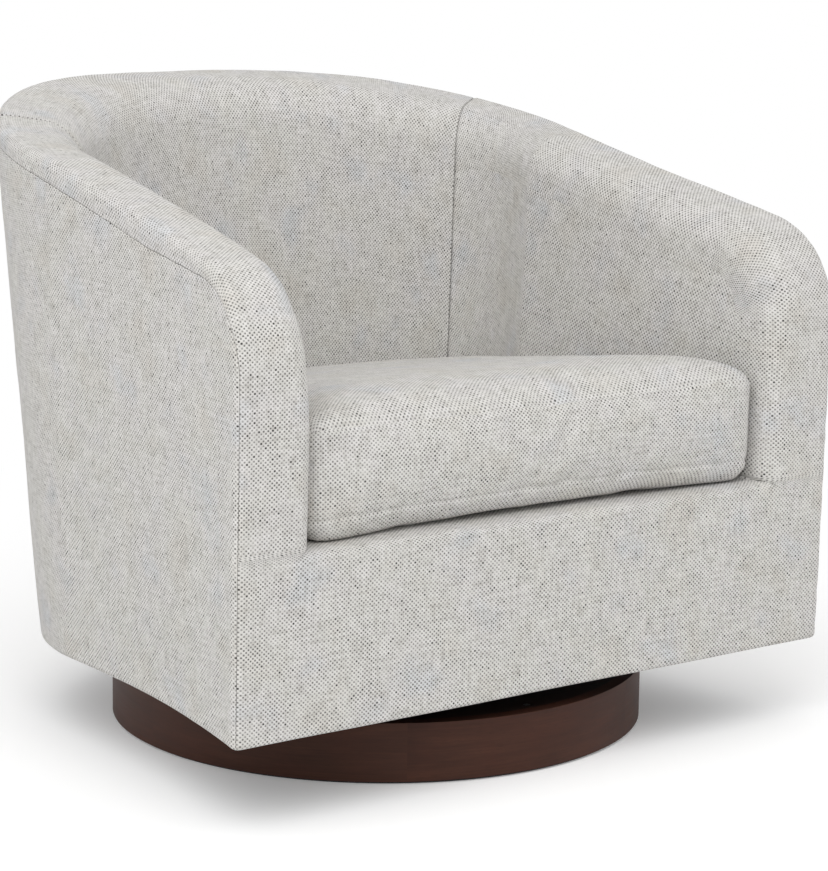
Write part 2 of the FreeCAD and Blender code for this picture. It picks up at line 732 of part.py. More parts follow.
def under_crest(depth):
    """Solid under the side profile: front face, arm round and crest line.

    The profile is drawn in by depth, and its solid spans the whole width.
    """
    rise = math.atan(s.crest_rise.value)
    lean = math.atan(s.front_lean.value / (s.shell_reference.value - s.shell_bottom.value))
    radius = s.arm_front_radius.value - depth
    bottom = s.shell_bottom.value

    def front_y(z):
        return -s.front_low.value - math.tan(lean) * (z - bottom) + depth / math.cos(lean)

    def crest_z(y):
        return s.arm_height.value + s.crest_rise.value * (y + s.front_low.value) - depth / math.cos(rise)

    slope = s.crest_rise.value
    front_flat = front_y(bottom) + math.tan(lean) * bottom + radius / math.cos(lean)
    crest_flat = crest_z(0) - radius / math.cos(rise)
    centre_z = (crest_flat + slope * front_flat) / (1 + slope * math.tan(lean))
    centre_y = front_flat - math.tan(lean) * centre_z

    def on_arc(turn):
        return Vector(-WIDE, centre_y + radius * math.cos(turn), centre_z + radius * math.sin(turn))

    start_turn = math.pi + lean
    end_turn = math.pi / 2 + rise
    knee_y = s.crest_knee.value
    knee_half = s.crest_knee_half.value
    knee = Vector(-WIDE, knee_y, crest_z(knee_y))
    knee_start = knee - Vector(0, math.cos(rise), math.sin(rise)) * knee_half
    knee_end = knee + Vector(0, knee_half, 0)
    knee_radius = knee_half / math.tan(rise / 2)
    knee_turn = math.pi / 2 + rise / 2
    knee_middle = Vector(-WIDE, knee_end.y + knee_radius * math.cos(knee_turn),
                         knee_end.z - knee_radius + knee_radius * math.sin(knee_turn))
    foot = Vector(-WIDE, front_y(0), 0)
    rear_top = Vector(-WIDE, WIDE, knee_end.z)
    rear_foot = Vector(-WIDE, WIDE, 0)
    profile = Part.Wire([
        line(foot, on_arc(start_turn)),
        arc(on_arc(start_turn), on_arc((start_turn + end_turn) / 2), on_arc(end_turn)),
        line(on_arc(end_turn), knee_start),
        arc(knee_start, knee_middle, knee_end),
        line(knee_end, rear_top),
        line(rear_top, rear_foot),
        line(rear_foot, foot),
    ])
    return Part.Face(profile).extrude(Vector(2 * WIDE, 0, 0)), on_arc(start_turn).z


def slab(low, high, x0=-WIDE, x1=WIDE, y0=-WIDE, y1=WIDE):
    return Part.makeBox(x1 - x0, y1 - y0, high - low, Vector(x0, y0, low))


def back_wedge():
    """Upright wedge behind the two seams between arm and back."""
    turn = math.radians(s.back_seam_angle.value)
    right = Vector(WEDGE_REACH * math.cos(turn), WEDGE_REACH * math.sin(turn), 0)
    left = Vector(-right.x, right.y, 0)
    axis = Vector(0, 0, 0)
    face = Part.Face(Part.Wire([line(axis, right), line(right, left), line(left, axis)]))
    return face.extrude(Vector(0, 0, TALL))


def one_solid(shape):
    """The largest solid of a shape that a cut has left."""
    return max(shape.Solids, key=lambda solid: solid.Volume)


gap = s.layer_gap.value
panel = s.panel_thick.value
ply_inner = panel + gap + s.frame_ply.value
pad_outer = ply_inner + gap
outer_drum = drum()
seat_room = drum(s.arm_thick.value, s.back_thick.value)
crest_solid, arc_start = under_crest(0.0)
roll_core, _ = under_crest(s.roll_depth.value)
frame_crest, _ = under_crest(s.roll_depth.value + gap)
wedge = back_wedge()
left_half = slab(0, TALL, -WIDE, 0.0)
right_half = slab(0, TALL, 0.0, WIDE)


def edge_lies_on(edge, *shapes):
    middle = Part.Vertex(edge.valueAt((edge.FirstParameter + edge.LastParameter) / 2))
    return all(shape.distToShape(middle)[0] < ON_SURFACE for shape in shapes)


def rounded_seam(solid):
    """Round a solid's edges along the outer seam."""
    crest_skin = crest_solid.Shells[0]
    outer_skin = outer_drum.Shells[0]
    seam = [edge for edge in solid.Edges if edge_lies_on(edge, crest_skin, outer_skin)]
    return one_solid(solid.makeFillet(s.outer_roll.value, seam))


def rounded_wall():
    """The upholstered wall, rolled over towards the seat and at the outer seam."""
    wall = one_solid(outer_drum.cut(seat_room).common(crest_solid))
    crest_skin = crest_solid.Shells[0]
    room_skin = seat_room.Shells[0]
    inner = [edge for edge in wall.Edges if edge_lies_on(edge, crest_skin, room_skin)]
    return rounded_seam(wall.makeFillet(s.inner_roll.value, inner))


def rounded_rail(rail):
    """The padded front rail between the arms, with its upper front edge rounded."""
    top = s.rail_crest.value
    level = [edge for edge in rail.Edges
             if abs(edge.BoundBox.ZMin - top) < ON_SURFACE and abs(edge.BoundBox.ZMax - top) < ON_SURFACE]
    front_edge = min(level, key=lambda edge: edge.CenterOfMass.y)
    return one_solid(rail.makeFillet(s.rail_crest_round.value, [front_edge]))


# Upholstery

block = rounded_seam(one_solid(outer_drum.common(crest_solid)))
wall = rounded_wall()

# Padding over the frame: everything of the wall but the room of frame and panels
frame_room = roll_core.cut(drum(pad_outer))
padding = wall.cut(frame_room)
join_height = arc_start - s.front_join_drop.value
front_skin = padding.cut(roll_core).common(slab(0, join_height))
padding = padding.cut(front_skin)
deck_low = s.rail_crest.value - s.deck_thick.value
padding = padding.cut(slab(0, deck_low))
back_pad = one_solid(padding.common(wedge))
arm_pads = padding.cut(wedge)
new_feature("back_pad", back_pad)
new_feature("arm_pad_left", one_solid(arm_pads.common(left_half)))
new_feature("arm_pad_right", one_solid(arm_pads.common(right_half)))

# Front panel: the two arm fronts and the front rail in one U
rail_skin = block.cut(roll_core).common(slab(0, s.rail_crest.value))
rail_middle = rounded_rail(one_solid(rail_skin.common(seat_room)))
arm_fronts = front_skin.common(slab(s.rail_crest.value, TALL))
front_panel = rail_skin.cut(seat_room).fuse([rail_middle, arm_fronts])
new_feature("front_panel", one_solid(front_panel.removeSplitter()))

# Outer panels, under the roll
outer_panels = outer_drum.cut(drum(panel)).common(roll_core)
outside_back = one_solid(outer_panels.common(wedge))
side_panels = outer_panels.cut(wedge)
new_feature("outside_back_panel", outside_back)
new_feature("side_panel_left", one_solid(side_panels.common(left_half)))
new_feature("side_panel_right", one_solid(side_panels.common(right_half)))

# Plywood frame
panel_low = s.shell_bottom.value + s.dust_cover_thick.value
panel_top = panel_low + s.base_panel_thick.value
hole = s.base_hole.value
mechanism_hole = slab(0, TALL, -hole, hole, -hole, hole)
inside_panels = drum(panel + gap)
base_board = inside_panels.common(frame_crest).common(slab(panel_low, panel_top)).cut(mechanism_hole)
new_feature("base_panel", one_solid(base_board))
dust_sheet = inside_panels.common(frame_crest).common(slab(s.shell_bottom.value, panel_low)).cut(mechanism_hole)
new_feature("dust_cover", one_solid(dust_sheet))

ply_walls = inside_panels.cut(drum(ply_inner)).common(frame_crest).common(slab(panel_top, TALL))
arm_walls = ply_walls.cut(wedge)
new_feature("back_frame", one_solid(ply_walls.common(wedge)))
new_feature("arm_frame_left", one_solid(arm_walls.common(left_half)))
new_feature("arm_frame_right", one_solid(arm_walls.common(right_half)))

# Seat box

box_inner = s.box_half - s.rail_thick
front_rail_face = -s.front_low + s.roll_depth + s.rail_room
front_rail_back = front_rail_face + s.rail_thick
back_rail_face = s.box_back - s.rail_thick
board_level = s.shell_bottom + s.dust_cover_thick + s.base_panel_thick
rail_top = s.rail_crest - s.deck_thick - s.layer_gap - (s.clip_thick + s.deck_wire) * 2
rail_height = rail_top - board_level
frame_front = s.front_half_width.value - ply_inner
frame_half = side_arc(frame_front, -s.front_low.value, frame_front - s.side_draw.value, s.shoulder_low.value)
front_rail_half = dim(frame_half(front_rail_back.value)) - s.rail_end_room

front_rail = new_body("front_rail")
pad(front_rail, "front_rail_pad",
    [rectangle(-front_rail_half, front_rail_half, front_rail_face, front_rail_back)],
    board_level, rail_height)
rear_rail = new_body("rear_rail")
pad(rear_rail, "rear_rail_pad", [rectangle(-s.box_half, s.box_half, back_rail_face, s.box_back)],
    board_level, rail_height)
for side, sign in (("right", 1), ("left", -1)):
    side_rail = new_body("side_rail_" + side)
    near = box_inner if sign > 0 else -s.box_half
    far = s.box_half if sign > 0 else -box_inner
    pad(side_rail, "side_rail_pad_" + side, [rectangle(near, far, front_rail_back, back_rail_face)],
        board_level, rail_height)

corner_blocks = new_body("corner_blocks")
block_loops = []
for x_sign in (1, -1):
    for y, y_sign in ((front_rail_back, 1), (back_rail_face, -1)):
        corner_x = box_inner * x_sign
        block_loops.append(polygon((corner_x, y),
                                   (corner_x - s.corner_block * x_sign, y),
                                   (corner_x, y + s.corner_block * y_sign)))
pad(corner_blocks, "corner_block_pad", block_loops,
    rail_top - s.corner_block_height, s.corner_block_height)

cross_rail_top = s.cross_rail_low + s.cross_rail_thick
cross_near = s.spring_y - s.cross_rail_width / 2
cross_far = s.spring_y + s.cross_rail_width / 2
for end, y0, y1, places in (("front", -cross_far, -cross_near, bracket_bolt_places[2:]),
                            ("rear", cross_near, cross_far, bracket_bolt_places[:2])):
    cross_rail = new_body("cross_rail_" + end)
    pad(cross_rail, "cross_rail_pad_" + end,
        [rectangle(-box_inner, box_inner, y0, y1)] + circles_at(places, s.bolt_radius),
        s.cross_rail_low, s.cross_rail_thick)

cleats = new_body("cross_rail_cleats")
cleat_loops = []
for x0, x1 in ((box_inner - s.cleat_size, box_inner), (-box_inner, -box_inner + s.cleat_size)):
    for y0, y1 in ((cross_near, cross_far), (-cross_far, -cross_near)):
        cleat_loops.append(rectangle(x0, x1, y0, y1))
pad(cleats, "cleat_pad", cleat_loops, s.cross_rail_low - s.cleat_size, s.cleat_size)

bracket_bolts = new_body("bracket_bolts")
pad(bracket_bolts, "bracket_bolt_head", circles_at(bracket_bolt_places, s.bolt_head),
    flange_low - s.bolt_head_height, s.bolt_head_height)
pad(bracket_bolts, "bracket_bolt_shank", circles_at(bracket_bolt_places, s.bolt_radius),
    flange_low, cross_rail_top + s.bolt_head_height - flange_low)

bracket_nuts = new_body("bracket_nuts")
pad(bracket_nuts, "bracket_nut_pad",
    circles_at(bracket_bolt_places, s.bolt_head) + circles_at(bracket_bolt_places, s.bolt_radius),
    cross_rail_top, s.bolt_head_height)

# Zigzag seat springs in clips on the rails

wire_height = rail_top.value + s.clip_thick.value + s.deck_wire.value
spring_front = (front_rail_face.value + front_rail_back.value) / 2
spring_back = (back_rail_face.value + s.box_back.value) / 2


def zigzag():
    """One seat spring along Y: straight cross runs joined by half turns."""
    half = s.zigzag_half.value
    runs = int(s.zigzag_runs.value)
    step = (spring_back - spring_front) / (runs - 1)
    bend = step / 2
    edges = []
    for index in range(runs):
        side = 1 if index % 2 == 0 else -1
        y = spring_front + step * index
        start = Vector(-side * (half - bend), y, wire_height)
        end = Vector(side * (half - bend), y, wire_height)
        edges.append(line(start, end))
        if index == runs - 1:
            continue
        centre = Vector(end.x, y + bend, wire_height)
        crown = Vector(end.x + side * bend, y + bend, wire_height)
        following = Vector(end.x, y + step, wire_height)
        diagonal = bend * math.sqrt(0.5)
        edges.append(arc(end, centre + Vector(side * diagonal, -diagonal, 0), crown))
        edges.append(arc(crown, centre + Vector(side * diagonal, diagonal, 0), following))
    first = edges[0].Vertexes[0].Point
    ring = Part.Wire([Part.Circle(first, Vector(1, 0, 0), s.deck_wire.value).toShape()])
    return Part.Wire(edges).makePipeShell([ring], True, False)


def clip():
    """A folded steel strip that holds the end run of a seat spring."""
    half_width = s.clip_width.value / 2
    half_depth = s.clip_depth.value / 2
    thick = s.clip_thick.value
    low = rail_top.value
    inner_low = low + thick
    inner_high = inner_low + 2 * s.deck_wire.value
    whole = slab(low, inner_high + thick, -half_width, half_width, -half_depth, half_depth)
    return whole.cut(slab(inner_low, inner_high, -half_width, half_width, -half_depth, half_depth - thick))


spring_count = int(s.deck_spring_count.value)
lanes = [s.deck_spring_pitch.value * (index - (spring_count - 1) / 2) for index in range(spring_count)]
one_zigzag = zigzag()
deck_springs = []
clips = []
for lane in lanes:
    spring = one_zigzag.copy()
    spring.translate(Vector(lane, 0, 0))
    deck_springs.append(spring)
    rear_clip = clip()
    front_clip = rear_clip.copy()
    front_clip.rotate(Vector(0, 0, 0), Vector(0, 0, 1), 180)
    front_clip.translate(Vector(lane, spring_front, 0))
    rear_clip.translate(Vector(lane, spring_back, 0))
    clips += [front_clip, rear_clip]
new_feature("deck_springs", Part.makeCompound(deck_springs))
new_feature("spring_clips", Part.makeCompound(clips))

deck_room = drum(s.arm_thick.value + gap, s.back_thick.value + gap)
deck = deck_room.common(frame_crest).common(slab(deck_low, s.rail_crest.value))
new_feature("deck_pad", one_solid(deck))

# Loose seat cushion

CROWN_OUTLINES = (0.985, 0.96, 0.92, 0.86, 0.77, 0.65, 0.5, 0.3, 0.1)


def cushion_outline(height, inset, lean_height, size=1.0):
    """Outline of the cushion, drawn in from the room between the arms.

    A size under one shrinks the outline about the cushion's middle.
    """
    room = s.cushion_room.value + inset
    share = shell_share(lean_height)
    front_y = -s.cushion_front.value + inset
    half_front = s.front_half_width.value - s.arm_thick.value - room
    half_back = half_front - s.side_draw.value + s.side_lean.value * share
    shoulder = s.shoulder_low.value + s.shoulder_shift.value * share
    back_y = s.back_low.value + s.back_lean.value * share - s.back_thick.value - room
    corner = s.corner_low.value + s.corner_growth.value * share - s.back_thick.value - room
    corner_x = half_back - corner
    behind = shoulder - back_y
    back_radius = (corner_x ** 2 + behind ** 2 - corner ** 2) / (-2 * behind - 2 * corner)
    sweep = math.atan2(shoulder - back_y + back_radius, corner_x)
    rounding = s.cushion_corner.value
    side_x = side_arc(half_front, -s.front_low.value, half_back, shoulder)
    middle_y = (front_y + back_y) / 2

    def point(x, y):
        return Vector(x * size, middle_y + (y - middle_y) * size, height)

    def mirrored(place):
        return Vector(-place.x, place.y, place.z)

    side_front_y = front_y + rounding
    side_front_x = side_x(side_front_y)
    side_front = point(side_front_x, side_front_y)
    front_end = point(side_front_x - rounding, front_y)
    diagonal = rounding * (1 - math.sqrt(0.5))
    front_round = point(side_front_x - diagonal, front_y + diagonal)
    halfway = (shoulder + side_front_y) / 2
    side_middle = point(side_x(halfway), halfway)
    side_back = point(half_back, shoulder)
    corner_middle = point(corner_x + corner * math.cos(sweep / 2), shoulder + corner * math.sin(sweep / 2))
    joint = point(corner_x + corner * math.cos(sweep), shoulder + corner * math.sin(sweep))
    return Part.Wire([
        line(mirrored(front_end), front_end),
        arc(front_end, front_round, side_front),
        arc(side_front, side_middle, side_back),
        arc(side_back, corner_middle, joint),
        arc(joint, point(0, back_y), mirrored(joint)),
        arc(mirrored(joint), mirrored(corner_middle), mirrored(side_back)),
        arc(mirrored(side_back), mirrored(side_middle), mirrored(side_front)),
        arc(mirrored(side_front), mirrored(front_round), mirrored(front_end)),
    ])


def cushion():
    """Crowned box cushion: a drawn-in foot, a bulging boxing and a domed top."""
    low = s.rail_crest.value + gap
    seam_low = low + s.cushion_seam_low.value
    seam_high = low + s.cushion_seam_high.value
    seam_inset = s.cushion_seam_inset.value
    outlines = [
        cushion_outline(low, s.cushion_foot.value, low),
        cushion_outline((low + seam_low) / 2, s.cushion_foot_middle.value, low),
        cushion_outline(seam_low, seam_inset, low),
        cushion_outline((seam_low + seam_high) / 2, 0.0, low),
        cushion_outline(seam_high, seam_inset, low),
    ]
    for size in CROWN_OUTLINES:
        lift = s.cushion_crown.value * (1 - size ** s.cushion_dome.value) ** s.cushion_shoulder.value
        outlines.append(cushion_outline(seam_high + lift, seam_inset, low, size))
    return Part.makeLoft(outlines, True, True)


new_feature("seat_cushion", cushion())

# Build, check and write

doc.recompute()
faults = []
for item in doc.Objects:
    if "Invalid" in item.State or "Error" in item.State:
        faults.append("%s: %s" % (item.Label, item.State))
for item in parts:
    if item.Shape.isNull() or not item.Shape.isValid() or not item.Shape.Solids:
        faults.append("%s: bad shape" % item.Label)
if faults:
    raise RuntimeError("; ".join(faults))

os.makedirs("parts", exist_ok=True)
for item in parts:
    item.Shape.exportStep(os.path.join("parts", item.Label + ".step"))
print("wrote %d parts" % len(parts))
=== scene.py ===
"""Finish of a swivel rocker: an upholstered barrel chair on a round veneered plinth."""
import logging
import math
from dataclasses import dataclass, field
from enum import Enum
from functools import partial
from typing import Callable

import bmesh
import bpy
import numpy as np
from mathutils import Matrix, Vector, noise


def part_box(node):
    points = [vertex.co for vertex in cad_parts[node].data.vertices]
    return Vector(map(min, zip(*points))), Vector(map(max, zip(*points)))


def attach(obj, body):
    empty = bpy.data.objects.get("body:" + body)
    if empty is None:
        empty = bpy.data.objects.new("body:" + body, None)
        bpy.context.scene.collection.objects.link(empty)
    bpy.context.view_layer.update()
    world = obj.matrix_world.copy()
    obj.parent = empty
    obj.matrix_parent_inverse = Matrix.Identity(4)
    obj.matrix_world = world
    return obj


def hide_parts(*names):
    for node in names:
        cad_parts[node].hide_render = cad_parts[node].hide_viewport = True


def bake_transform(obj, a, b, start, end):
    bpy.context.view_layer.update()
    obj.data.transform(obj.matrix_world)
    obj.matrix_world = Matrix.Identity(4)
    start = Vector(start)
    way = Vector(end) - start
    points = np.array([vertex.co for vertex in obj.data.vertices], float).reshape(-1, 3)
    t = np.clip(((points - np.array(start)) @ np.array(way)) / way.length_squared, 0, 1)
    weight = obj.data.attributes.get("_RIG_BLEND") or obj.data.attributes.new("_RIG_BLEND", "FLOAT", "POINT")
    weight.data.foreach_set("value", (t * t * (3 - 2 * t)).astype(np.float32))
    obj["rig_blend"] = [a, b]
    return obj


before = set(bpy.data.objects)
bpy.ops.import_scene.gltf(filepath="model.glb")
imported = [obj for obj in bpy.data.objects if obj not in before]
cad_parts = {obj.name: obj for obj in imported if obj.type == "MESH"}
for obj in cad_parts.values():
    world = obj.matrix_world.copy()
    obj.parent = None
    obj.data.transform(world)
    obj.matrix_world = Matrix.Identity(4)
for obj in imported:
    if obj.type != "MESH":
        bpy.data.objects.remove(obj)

LOG = logging.getLogger("swivel_rocker")
MM = 0.001
PIXELS_WIDE = 828
PIXELS_HIGH = 871
WHITE = (1.0, 1.0, 1.0, 1.0)
# Farther from a seam than any place on the chair
FAR = 1.0
# As good as no length at all
TINY = 1e-6


def linear(colour: str) -> tuple[float, float, float, float]:
    """Turn an sRGB hex colour into linear RGBA.

    Args:
        colour: A colour such as "#c8c4bc".

    Returns:
        Linear red, green, blue and an alpha of 1.
    """
    parts = [int(colour[index:index + 2], 16) / 255 for index in (1, 3, 5)]
    red, green, blue = [
        value / 12.92 if value <= 0.04045 else ((value + 0.055) / 1.055) ** 2.4 for value in parts
    ]
    return red, green, blue, 1.0


def add(tree: bpy.types.NodeTree, kind: str, inputs: dict | tuple = (), output: int | str = 0,
        stops: tuple = (), **settings) -> bpy.types.NodeSocket:
    """Add a shader node, set its properties and fill its inputs.

    Args:
        tree: The node tree.
        kind: The node's type name without its "ShaderNode".
        inputs: Values or output sockets, in the order of the inputs or by name or number.
        output: Name or number of the output that is given back.
        stops: A ramp's places, each with its sRGB hex colour.
        settings: Properties of the node.

    Returns:
        That output of the new node.
    """
    node = tree.nodes.new("ShaderNode" + kind)
    for name, value in settings.items():
        setattr(node, name, value)
    if not isinstance(inputs, dict):
        inputs = dict(enumerate(inputs))
    for name, value in inputs.items():
        if isinstance(value, bpy.types.NodeSocket):
            tree.links.new(value, node.inputs[name])
        else:
            node.inputs[name].default_value = value
    if stops:
        elements = node.color_ramp.elements
        for _ in stops[len(elements):]:
            elements.new(0.5)
        for element, (place, colour) in zip(elements, stops):
            element.position = place
            element.color = linear(colour)
    return node.outputs[output]


def new_material(name: str) -> tuple[bpy.types.Material, bpy.types.NodeTree, bpy.types.NodeSocket]:
    """Make an empty node material.

    Args:
        name: Name of the material.

    Returns:
        The material, its node tree and the surface input of its output node.
    """
    material = bpy.data.materials.new(name)
    material.use_nodes = True
    tree = material.node_tree
    tree.nodes.clear()
    return material, tree, tree.nodes.new("ShaderNodeOutputMaterial").inputs["Surface"]


@dataclass(frozen=True)
class WovenCloth:
    """Heathered plain weave of thick and thin yarns, dull and slightly nubby to the eye, with shade painted
    into the gaps between its yarns.

    Its yarns are too fine to show in the render, so they are drawn coarser, 2.4 and 2.7 mm apart.
    """

    name: str = "heathered_plain_weave_linen"
    warp_pitch: float = 2.7 * MM
    weft_pitch: float = 2.4 * MM
    slub_length: float = 16 * MM
    slub_scale: float = 0.6
    patch_size: float = 75 * MM
    cloud_size: float = 75 * MM / 2.6
    relief: float = 0.5 * MM
    yarn_relief: float = 0.4
    bump: float = 0.7
    # Painted shade in the weave's gaps: how strongly, from where and how unevenly it darkens
    pit_shade_depth: float = 1.35
    pit_shade_start: float = 0.05
    pit_shade_least: float = 0.5
    pit_shade_spread: float = 0.45
    cloud_least: float = 0.3
    cloud_spread: float = 1.2
    # Painted deep shade: share of cells whose gaps go near black, and how far
    deep_shade_share: float = 0.02
    deep_shade_strength: float = 0.85
    roughness: float = 0.92
    sheen: float = 0.1
    light: str = "#e3e2e0"
    middle: str = "#d5d4d1"
    shadow: str = "#bdbbb7"
    # Colour of the painted shade in the weave's gaps
    pit_shade: str = "#5b5956"
    # Colour of the painted deep shade in some of the weave's gaps
    deep_pit_shade: str = "#2c2a29"
    tints: tuple[str, ...] = ("#f5f2ee", "#faf9f7", "#faf8f8", "#f2f4f8")

    def build(self) -> bpy.types.Material:
        """Make the cloth on the piece's own weave UV map.

        Returns:
            The material.
        """
        material, tree, surface = new_material(self.name)
        node = partial(add, tree)
        place = node("UVMap", uv_map="weave")
        x, y, _ = node("SeparateXYZ", (place,)).node.outputs
        across = node("Math", (x, self.warp_pitch), operation="DIVIDE")
        along = node("Math", (y, self.weft_pitch), operation="DIVIDE")
        waves = []
        for yarns in (across, along):
            angle = node("Math", (yarns, math.pi), operation="MULTIPLY")
            waves.append(node("Math", (angle,), operation="SINE"))
        crossing = node("Math", tuple(waves), operation="MULTIPLY")
        cell = node("CombineXYZ", (node("Math", (across,), operation="FLOOR"),
                                   node("Math", (along,), operation="FLOOR")))
        chance = node("TexWhiteNoise", (cell,), noise_dimensions="2D")
        slubs = []
        for pitch_x, pitch_y in ((self.warp_pitch, self.slub_length), (self.slub_length, self.weft_pitch)):
            drawn = (node("Math", (x, 1 / pitch_x), operation="MULTIPLY"),
                     node("Math", (y, 1 / pitch_y), operation="MULTIPLY"))
            slubs.append(node("TexNoise", {"Vector": node("CombineXYZ", drawn), "Scale": self.slub_scale,
                                           "Detail": 2.0, "Roughness": 0.6}))
        both = node("Math", tuple(slubs), operation="ADD")
        yarn = node("Math", (both, 0.5), operation="MULTIPLY")
        patches = node("TexNoise", {"Vector": place, "Scale": 1 / self.patch_size, "Detail": 2.0})
        clouds = node("TexNoise", {"Vector": place, "Scale": 1 / self.cloud_size, "Detail": 3.0})
        base = node("ValToRGB", (yarn,),
                    stops=((0.3, self.shadow), (0.45, self.middle), (0.62, self.light)))
        tinted = node("ValToRGB", (patches,), stops=tuple(zip((0.3, 0.45, 0.58, 0.72), self.tints)))
        base = node("Mix", {0: 1.0, 6: base, 7: tinted}, 2, data_type="RGBA", blend_type="MULTIPLY")
        # Painted shade: low darkens the weave where its yarns dip, and depth varies it at random from cell
        # to cell and from cloud to cloud
        low = node("Math", (crossing, -self.pit_shade_depth, self.pit_shade_start), operation="MULTIPLY_ADD")
        low = node("Math", (low, 0.0), operation="MAXIMUM")
        pit_shade_level = node("Math", (chance, self.pit_shade_spread, self.pit_shade_least), operation="MULTIPLY_ADD")
        clouded = node("Math", (clouds, self.cloud_spread, self.cloud_least), operation="MULTIPLY_ADD")
        depth = node("Math", (pit_shade_level, clouded), operation="MULTIPLY")
        pit_shade_share = node("Math", (node("Math", (low, depth), operation="MULTIPLY"), 1.0), operation="MINIMUM")
        base = node("Mix", {0: pit_shade_share, 6: base, 7: linear(self.pit_shade)}, 2, data_type="RGBA")
        # Painted deep shade: in a few random cells the weave's gaps go near black; dark carries it
        deep_shade_cells = node("Math", (chance, 1 - self.deep_shade_share), operation="GREATER_THAN")
        dark = node("Math", (deep_shade_cells, low), operation="MULTIPLY")
        dark = node("Math", (dark, self.deep_shade_strength), operation="MINIMUM")
        base = node("Mix", {0: dark, 6: base, 7: linear(self.deep_pit_shade)}, 2, data_type="RGBA")
        height = node("Math", (yarn, self.yarn_relief, crossing), operation="MULTIPLY_ADD")
        bump = node("Bump", {"Strength": self.bump, "Distance": self.relief, "Height": height})
        shader = node("BsdfPrincipled", {
            "Base Color": base, "Roughness": self.roughness, "Sheen Weight": self.sheen,
            "Sheen Roughness": 0.5, "Specular IOR Level": 0.25, "Normal": bump,
        })
        tree.links.new(shader, surface)
        return material


@dataclass(frozen=True)
class StainedVeneer:
    """Walnut-stained veneer bent round a hoop: satin lacquer over straight grain that runs round it."""

    name: str = "walnut_stained_veneer"
    radius: float = 305 * MM
    sheet_length: float = 320 * MM
    grain_width: float = 2.2 * MM
    grain_length: float = 90 * MM
    patch_size: float = 60 * MM
    pore_share: float = 0.36
    pore_strength: float = 0.35
    red_strength: float = 0.55
    sheet_contrast: float = 0.25
    dark: str = "#21120c"
    middle: str = "#372016"
    light: str = "#4b2e21"
    red: str = "#4a2418"
    roughness: float = 0.55
    flat: bool = False

    def grain(self, tree: bpy.types.NodeTree, place: tuple, width: float, length: float,
              detail: float) -> bpy.types.NodeSocket:
        """Noise drawn out along the grain.

        Args:
            tree: The material's node tree.
            place: Run along the grain, place across it and number of the sheet.
            width: Size across the grain.
            length: Size along the grain.
            detail: Octaves of the noise.

        Returns:
            The noise.
        """
        run, rise, sheet = place
        drawn = add(tree, "CombineXYZ", (add(tree, "Math", (run, length), operation="DIVIDE"),
                                         add(tree, "Math", (rise, width), operation="DIVIDE"), sheet))
        return add(tree, "TexNoise", {"Vector": drawn, "Scale": 1.0, "Detail": detail, "Roughness": 0.6,
                                      "Distortion": 0.4})

    def build(self) -> bpy.types.Material:
        """Make the veneer, on coordinates unrolled about the upright axis unless it is flat.

        Returns:
            The material.
        """
        material, tree, surface = new_material(self.name)
        node = partial(add, tree)
        place = node("TexCoord", output="Object")
        x, y, z = node("SeparateXYZ", (place,)).node.outputs
        run, rise = x, y
        if not self.flat:
            turn = node("Math", (y, x), operation="ARCTAN2")
            run, rise = node("Math", (turn, self.radius), operation="MULTIPLY"), z
        sheets = node("Math", (run, self.sheet_length), operation="DIVIDE")
        sheet = node("Math", (sheets,), operation="FLOOR")
        width, length = self.grain_width, self.grain_length
        fine = self.grain(tree, (run, rise, sheet), width, length, 4.0)
        broad = self.grain(tree, (run, rise, sheet), width * 8, length * 1.4, 3.0)
        pores = self.grain(tree, (run, rise, sheet), width * 0.35, length * 0.14, 1.0)
        wide = node("Math", (broad, 0.55), operation="MULTIPLY")
        streaks = node("Math", (fine, 0.45, wide), operation="MULTIPLY_ADD")
        colour = node("ValToRGB", (streaks,),
                      stops=((0.3, self.dark), (0.5, self.middle), (0.72, self.light)))
        patches = node("TexNoise", {"Vector": place, "Scale": 1 / self.patch_size, "Detail": 2.0})
        soft = node("Math", (patches, 0.8, 0.1), operation="SMOOTH_MIN")
        redness = node("Math", (soft, self.red_strength), operation="MULTIPLY")
        colour = node("Mix", {0: redness, 6: colour, 7: linear(self.red)}, 2, data_type="RGBA")
        pore = node("Math", (pores, self.pore_share), operation="LESS_THAN")
        pore = node("Math", (pore, self.pore_strength), operation="MULTIPLY")
        colour = node("Mix", {0: pore, 6: colour, 7: linear(self.dark)}, 2, data_type="RGBA")
        chance = node("Math", (node("Math", (sheet, 0.37), operation="MULTIPLY"),), operation="FRACT")
        paler = node("Math", (chance, self.sheet_contrast), operation="MULTIPLY")
        colour = node("Mix", {0: paler, 6: colour, 7: linear(self.light)}, 2, data_type="RGBA")
        rough = node("Math", (fine, 0.16, self.roughness - 0.08), operation="MULTIPLY_ADD")
        bump = node("Bump", {"Strength": 0.25, "Distance": 0.1 * MM, "Height": streaks})
        shader = node("BsdfPrincipled", {
            "Base Color": colour, "Roughness": rough, "Specular IOR Level": 0.22, "Normal": bump,
        })
        tree.links.new(shader, surface)
        return material


